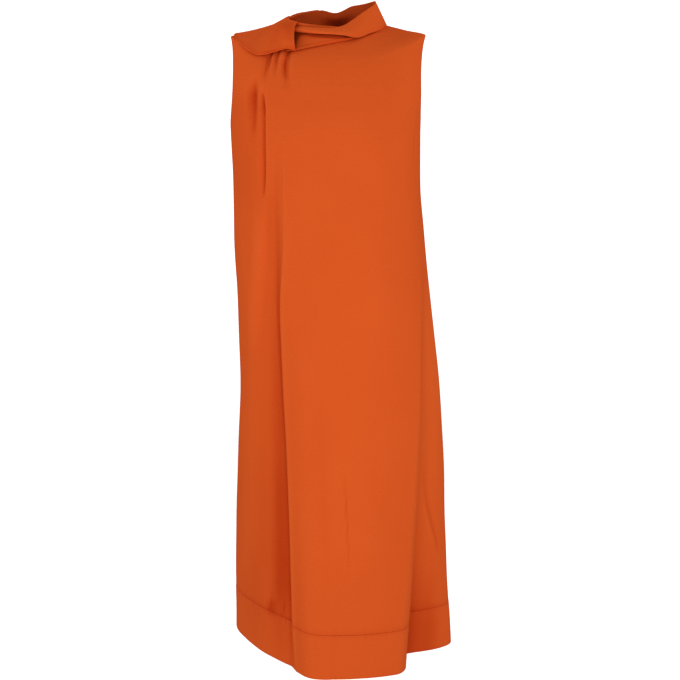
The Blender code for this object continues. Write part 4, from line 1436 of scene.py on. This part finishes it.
def armhole_line(half, side, inset, height):
    """The line of an armhole's stitches, this far in from its edge and lifted off the cloth."""
    def beside(half, level, ring):
        """Shares of a narrow strip of the panel beside the armhole."""
        shares = edge_share(half, level, ring[2]) + (inset + STITCH_STRIP) / ring[2]
        return shares if side == "start" else 1 - shares[::-1]
    strip = body_grid(half, armhole_levels(ARMHOLE_STATIONS)[STITCHED_PART], beside)
    return lifted(strip, height, (slice(None), 1))


def flap_line(grid, inset, height):
    """The line of the flap's stitches, this far in from its front end and lifted off the cloth."""
    line = [
        [np.interp(inset, way, grid[i, :, k]) for k in range(3)]
        for i, way in enumerate(way_along(grid, axis=1))
    ]
    near_front = 4  # a column of the grid close to that end
    return (np.array(line) + grid_normals(grid)[:, near_front] * height)[STITCHED_PART]


class DRESS_OT_panels(bpy.types.Operator):
    """Make the front and back panels with the stitches round their armholes"""

    bl_idname = "dress.panels"
    bl_label = "Panels"

    def execute(self, context):
        thickness = context.scene.dress_crepe.thickness
        inset = context.scene.dress_stitches.armhole_inset
        levels = panel_levels()
        for half in ("front", "back"):
            lines = [armhole_line(half, side, inset, thickness / 2) for side in ("start", "end")]
            sewn = stitch_piece(f"armhole_stitches_{half}", lines)
            grid, shade = body_grid(half, levels), fold_shade(half, levels)
            piece = cloth_piece(f"{half}_cloth", grid, thickness, crepe_material(), shade)
            finish_cloth(piece, f"{half}_panel")
        return {"FINISHED"}


class DRESS_OT_hem_bands(bpy.types.Operator):
    """Make the doubled hem bands with the stitches under their seam"""

    bl_idname = "dress.hem_bands"
    bl_label = "Hem Bands"

    def execute(self, context):
        thickness = context.scene.dress_crepe.doubled
        stitched = BAND_LEVEL - context.scene.dress_stitches.hem_inset + STITCH_STRIP
        levels = np.linspace(HEM_LEVEL, BAND_LEVEL, BAND_ROWS + 1)
        for half in ("front", "back"):
            strip = body_grid(half, stitched)[:, STITCHED_PART]
            sewn = stitch_piece(f"hem_stitches_{half}", [lifted(strip, thickness / 2, 1)])
            grid, shade = body_grid(half, levels), fold_shade(half, levels)
            piece = cloth_piece(f"hem_{half}", grid, thickness, crepe_material(), shade)
            finish_cloth(piece, f"hem_band_{half}")
        return {"FINISHED"}


class DRESS_OT_collar(bpy.types.Operator):
    """Make the collar's band, its fall and its flap"""

    bl_idname = "dress.collar"
    bl_label = "Collar"

    def execute(self, context):
        single, doubled = context.scene.dress_crepe.thickness, context.scene.dress_crepe.doubled
        crepe = crepe_material()
        turn = np.linspace(COLLAR_BAND[0][0], COLLAR_BAND[-1][0], COLLAR_STATIONS + 1)
        band_grid = collar_band_grid(turn)
        band = cloth_piece("collar_wrap", band_grid, doubled, crepe, pocket=band_pocket)
        finish_cloth(band, "collar_band")
        fall_grid = collar_fall_grid()
        shade = fall_shade(*fall_grid.shape[:2])
        fall = cloth_piece("collar_under", fall_grid, single, crepe, shade)
        finish_cloth(fall, "collar_fall")
        flap_grid = collar_flap_grid()
        flap = cloth_piece("collar_turned", flap_grid, doubled, crepe)
        inset = context.scene.dress_stitches.flap_inset
        sewn = stitch_piece("flap_stitches", [flap_line(flap_grid, inset, doubled / 2)])
        finish_cloth(flap, "collar_flap")
        return {"FINISHED"}


class DRESS_OT_shelter(bpy.types.Operator):
    """Mark where the pieces of cloth shelter each other, for the painted shade that deepens the
    colour there
    """

    bl_idname = "dress.shelter"
    bl_label = "Shelter"

    def execute(self, context):
        pieces = [piece for piece in context.scene.objects if "rows" in piece.keys()]
        corners, faces = [], []
        for piece in pieces:
            first = len(corners)
            corners += [vertex.co[:] for vertex in piece.data.vertices]
            faces += [[first + k for k in face.vertices] for face in piece.data.polygons]
        cloth = BVHTree.FromPolygons(corners, faces)
        for piece in pieces:
            mark_shelter(piece, cloth)
        return {"FINISHED"}


class DRESS_OT_stage(bpy.types.Operator):
    """Make the pale floor and backdrop, the soft studio light and the camera"""

    bl_idname = "dress.stage"
    bl_label = "Stage"

    def execute(self, context):
        scene = context.scene
        stage = scene.dress_stage
        self.floor(scene, stage)
        for name, place, aim, size, power in (
            ("key_light", (0.05, -1.6, -0.52), (0.0, 0.0, -0.42), 0.7, stage.key_light),
            ("backdrop_left", (-2.0, 0.8, 1.5), (-0.6, 3.4, -1.3), 1.2, stage.backdrop_light),
            ("backdrop_right", (2.0, 0.8, 1.5), (0.6, 3.4, -1.3), 1.2, stage.backdrop_light),
        ):
            self.soft_light(scene, name, place, aim, size, power)
        self.surround(scene, stage)
        scene.view_settings.view_transform = "Standard"
        lens = bpy.data.cameras.new("camera")
        lens.lens = stage.camera_lens
        lens.sensor_width = 36.0
        lens.clip_start, lens.clip_end = 0.05, 60.0
        camera = bpy.data.objects.new("camera", lens)
        camera.location = stage.camera_place
        camera.rotation_euler = (math.radians(90.0) - stage.camera_pitch, 0.0, 0.0)
        scene.collection.objects.link(camera)
        scene.camera = camera
        return {"FINISHED"}

    def floor(self, scene, stage):
        """A floor that sweeps up into a backdrop on every side."""
        radius, reach, height, rings, spokes = 1.2, 3.4, 4.2, 14, 72
        bend = np.linspace(0.0, math.pi / 2, rings)
        out = np.concatenate([[reach / 2], reach + radius * np.sin(bend), [reach + radius]])
        up = np.concatenate([[0.0], radius * (1 - np.cos(bend)), [height]])
        turn = np.linspace(0.0, 2 * math.pi, spokes, endpoint=False)
        corners = [(0.0, 0.0, stage.floor_height)]
        for away, rise in zip(out, up):
            z = stage.floor_height + rise
            corners += [(away * math.cos(t), away * math.sin(t), z) for t in turn]
        faces = [(0, 1 + k, 1 + (k + 1) % spokes) for k in range(spokes)]
        for ring in range(len(out) - 1):
            inner, outer = 1 + ring * spokes, 1 + (ring + 1) * spokes
            for k in range(spokes):
                after = (k + 1) % spokes
                faces.append((inner + k, outer + k, outer + after, inner + after))
        mesh = bpy.data.meshes.new("floor")
        mesh.from_pydata(corners, [], faces)
        mesh.shade_smooth()
        material = bpy.data.materials.new("pale_floor")
        material.use_nodes = True
        shader = material.node_tree.nodes["Principled BSDF"]
        for key, value in (
            ("Base Color", (*stage.floor_colour, 1.0)),
            ("Emission Color", (1.0, 1.0, 1.0, 1.0)),
            ("Emission Strength", stage.floor_glow),
            ("Roughness", 0.9),
            ("Specular IOR Level", 0.1),
        ):
            shader.inputs[key].default_value = value
        mesh.materials.append(material)
        floor = bpy.data.objects.new("floor", mesh)
        floor.visible_diffuse = floor.visible_shadow = False
        scene.collection.objects.link(floor)

    def surround(self, scene, stage):
        """Soft light from all round, with more from the front, the sides and below."""
        world = bpy.data.worlds.new("studio")
        world.use_nodes = True
        nodes = Nodes(world.node_tree)
        toward = nodes.add("ShaderNodeTexCoord").outputs["Generated"]
        axes = nodes.add("ShaderNodeSeparateXYZ", {"Vector": toward}).outputs
        parts = [
            (nodes.math("MAXIMUM", nodes.math("MULTIPLY", axes[axis], way), 0.0), share)
            for axis, way, share in (
                ("Y", -1.0, stage.from_front), ("X", -1.0, stage.from_left),
                ("X", 1.0, stage.from_right), ("Z", -1.0, stage.from_below),
            )
        ]
        sky = world.node_tree.nodes["Background"]
        nodes.give(sky, "Color", (1.0, 1.0, 1.0, 1.0))
        nodes.give(sky, "Strength", nodes.total(stage.surround, *parts))
        scene.world = world

    def soft_light(self, scene, name, place, aim, size, power):
        """A square area light that shines from a place towards another."""
        light = bpy.data.lights.new(name, "AREA")
        light.size = size
        light.energy = power
        lamp = bpy.data.objects.new(name, light)
        lamp.location = place
        along = np.array(aim) - np.array(place)
        flat = math.hypot(along[0], along[1])
        lamp.rotation_euler = (
            math.radians(90.0) + math.atan2(along[2], flat), 0.0, math.atan2(-along[0], along[1]),
        )
        lamp.visible_camera = False
        scene.collection.objects.link(lamp)


STEPS = (
    DRESS_OT_panels, DRESS_OT_hem_bands, DRESS_OT_collar, DRESS_OT_shelter, DRESS_OT_stage,
)
SETTINGS = (
    ("dress_crepe", DRESS_PG_crepe),
    ("dress_stitches", DRESS_PG_stitches),
    ("dress_stage", DRESS_PG_stage),
)


class DRESS_PT_sidebar(bpy.types.Panel):
    """Lists the dress's pieces and settings."""

    bl_idname = "DRESS_PT_sidebar"
    bl_label = "Tent Dress"
    bl_space_type = "VIEW_3D"
    bl_region_type = "UI"
    bl_category = "Dress"

    def draw(self, context):
        for step in STEPS:
            self.layout.operator(step.bl_idname)
        for settings, _ in SETTINGS:
            group = getattr(context.scene, settings)
            box = self.layout.box()
            for name in group.bl_rna.properties.keys():
                if name not in ("rna_type", "name"):
                    box.prop(group, name)


def register():
    """Registers the settings, the operators and the panel."""
    for name, group in SETTINGS:
        bpy.utils.register_class(group)
        setattr(bpy.types.Scene, name, PointerProperty(type=group))
    for kind in (*STEPS, DRESS_PT_sidebar):
        bpy.utils.register_class(kind)


def unregister():
    """Takes them all out again."""
    for kind in (DRESS_PT_sidebar, *reversed(STEPS)):
        bpy.utils.unregister_class(kind)
    for name, group in reversed(SETTINGS):
        delattr(bpy.types.Scene, name)
        bpy.utils.unregister_class(group)


def main():
    """Makes the whole dress and its stage."""
    register()
    bpy.ops.dress.panels()
    bpy.ops.dress.hem_bands()
    bpy.ops.dress.collar()
    bpy.ops.dress.shelter()
    bpy.ops.dress.stage()


if __name__ == "__main__":
    main()
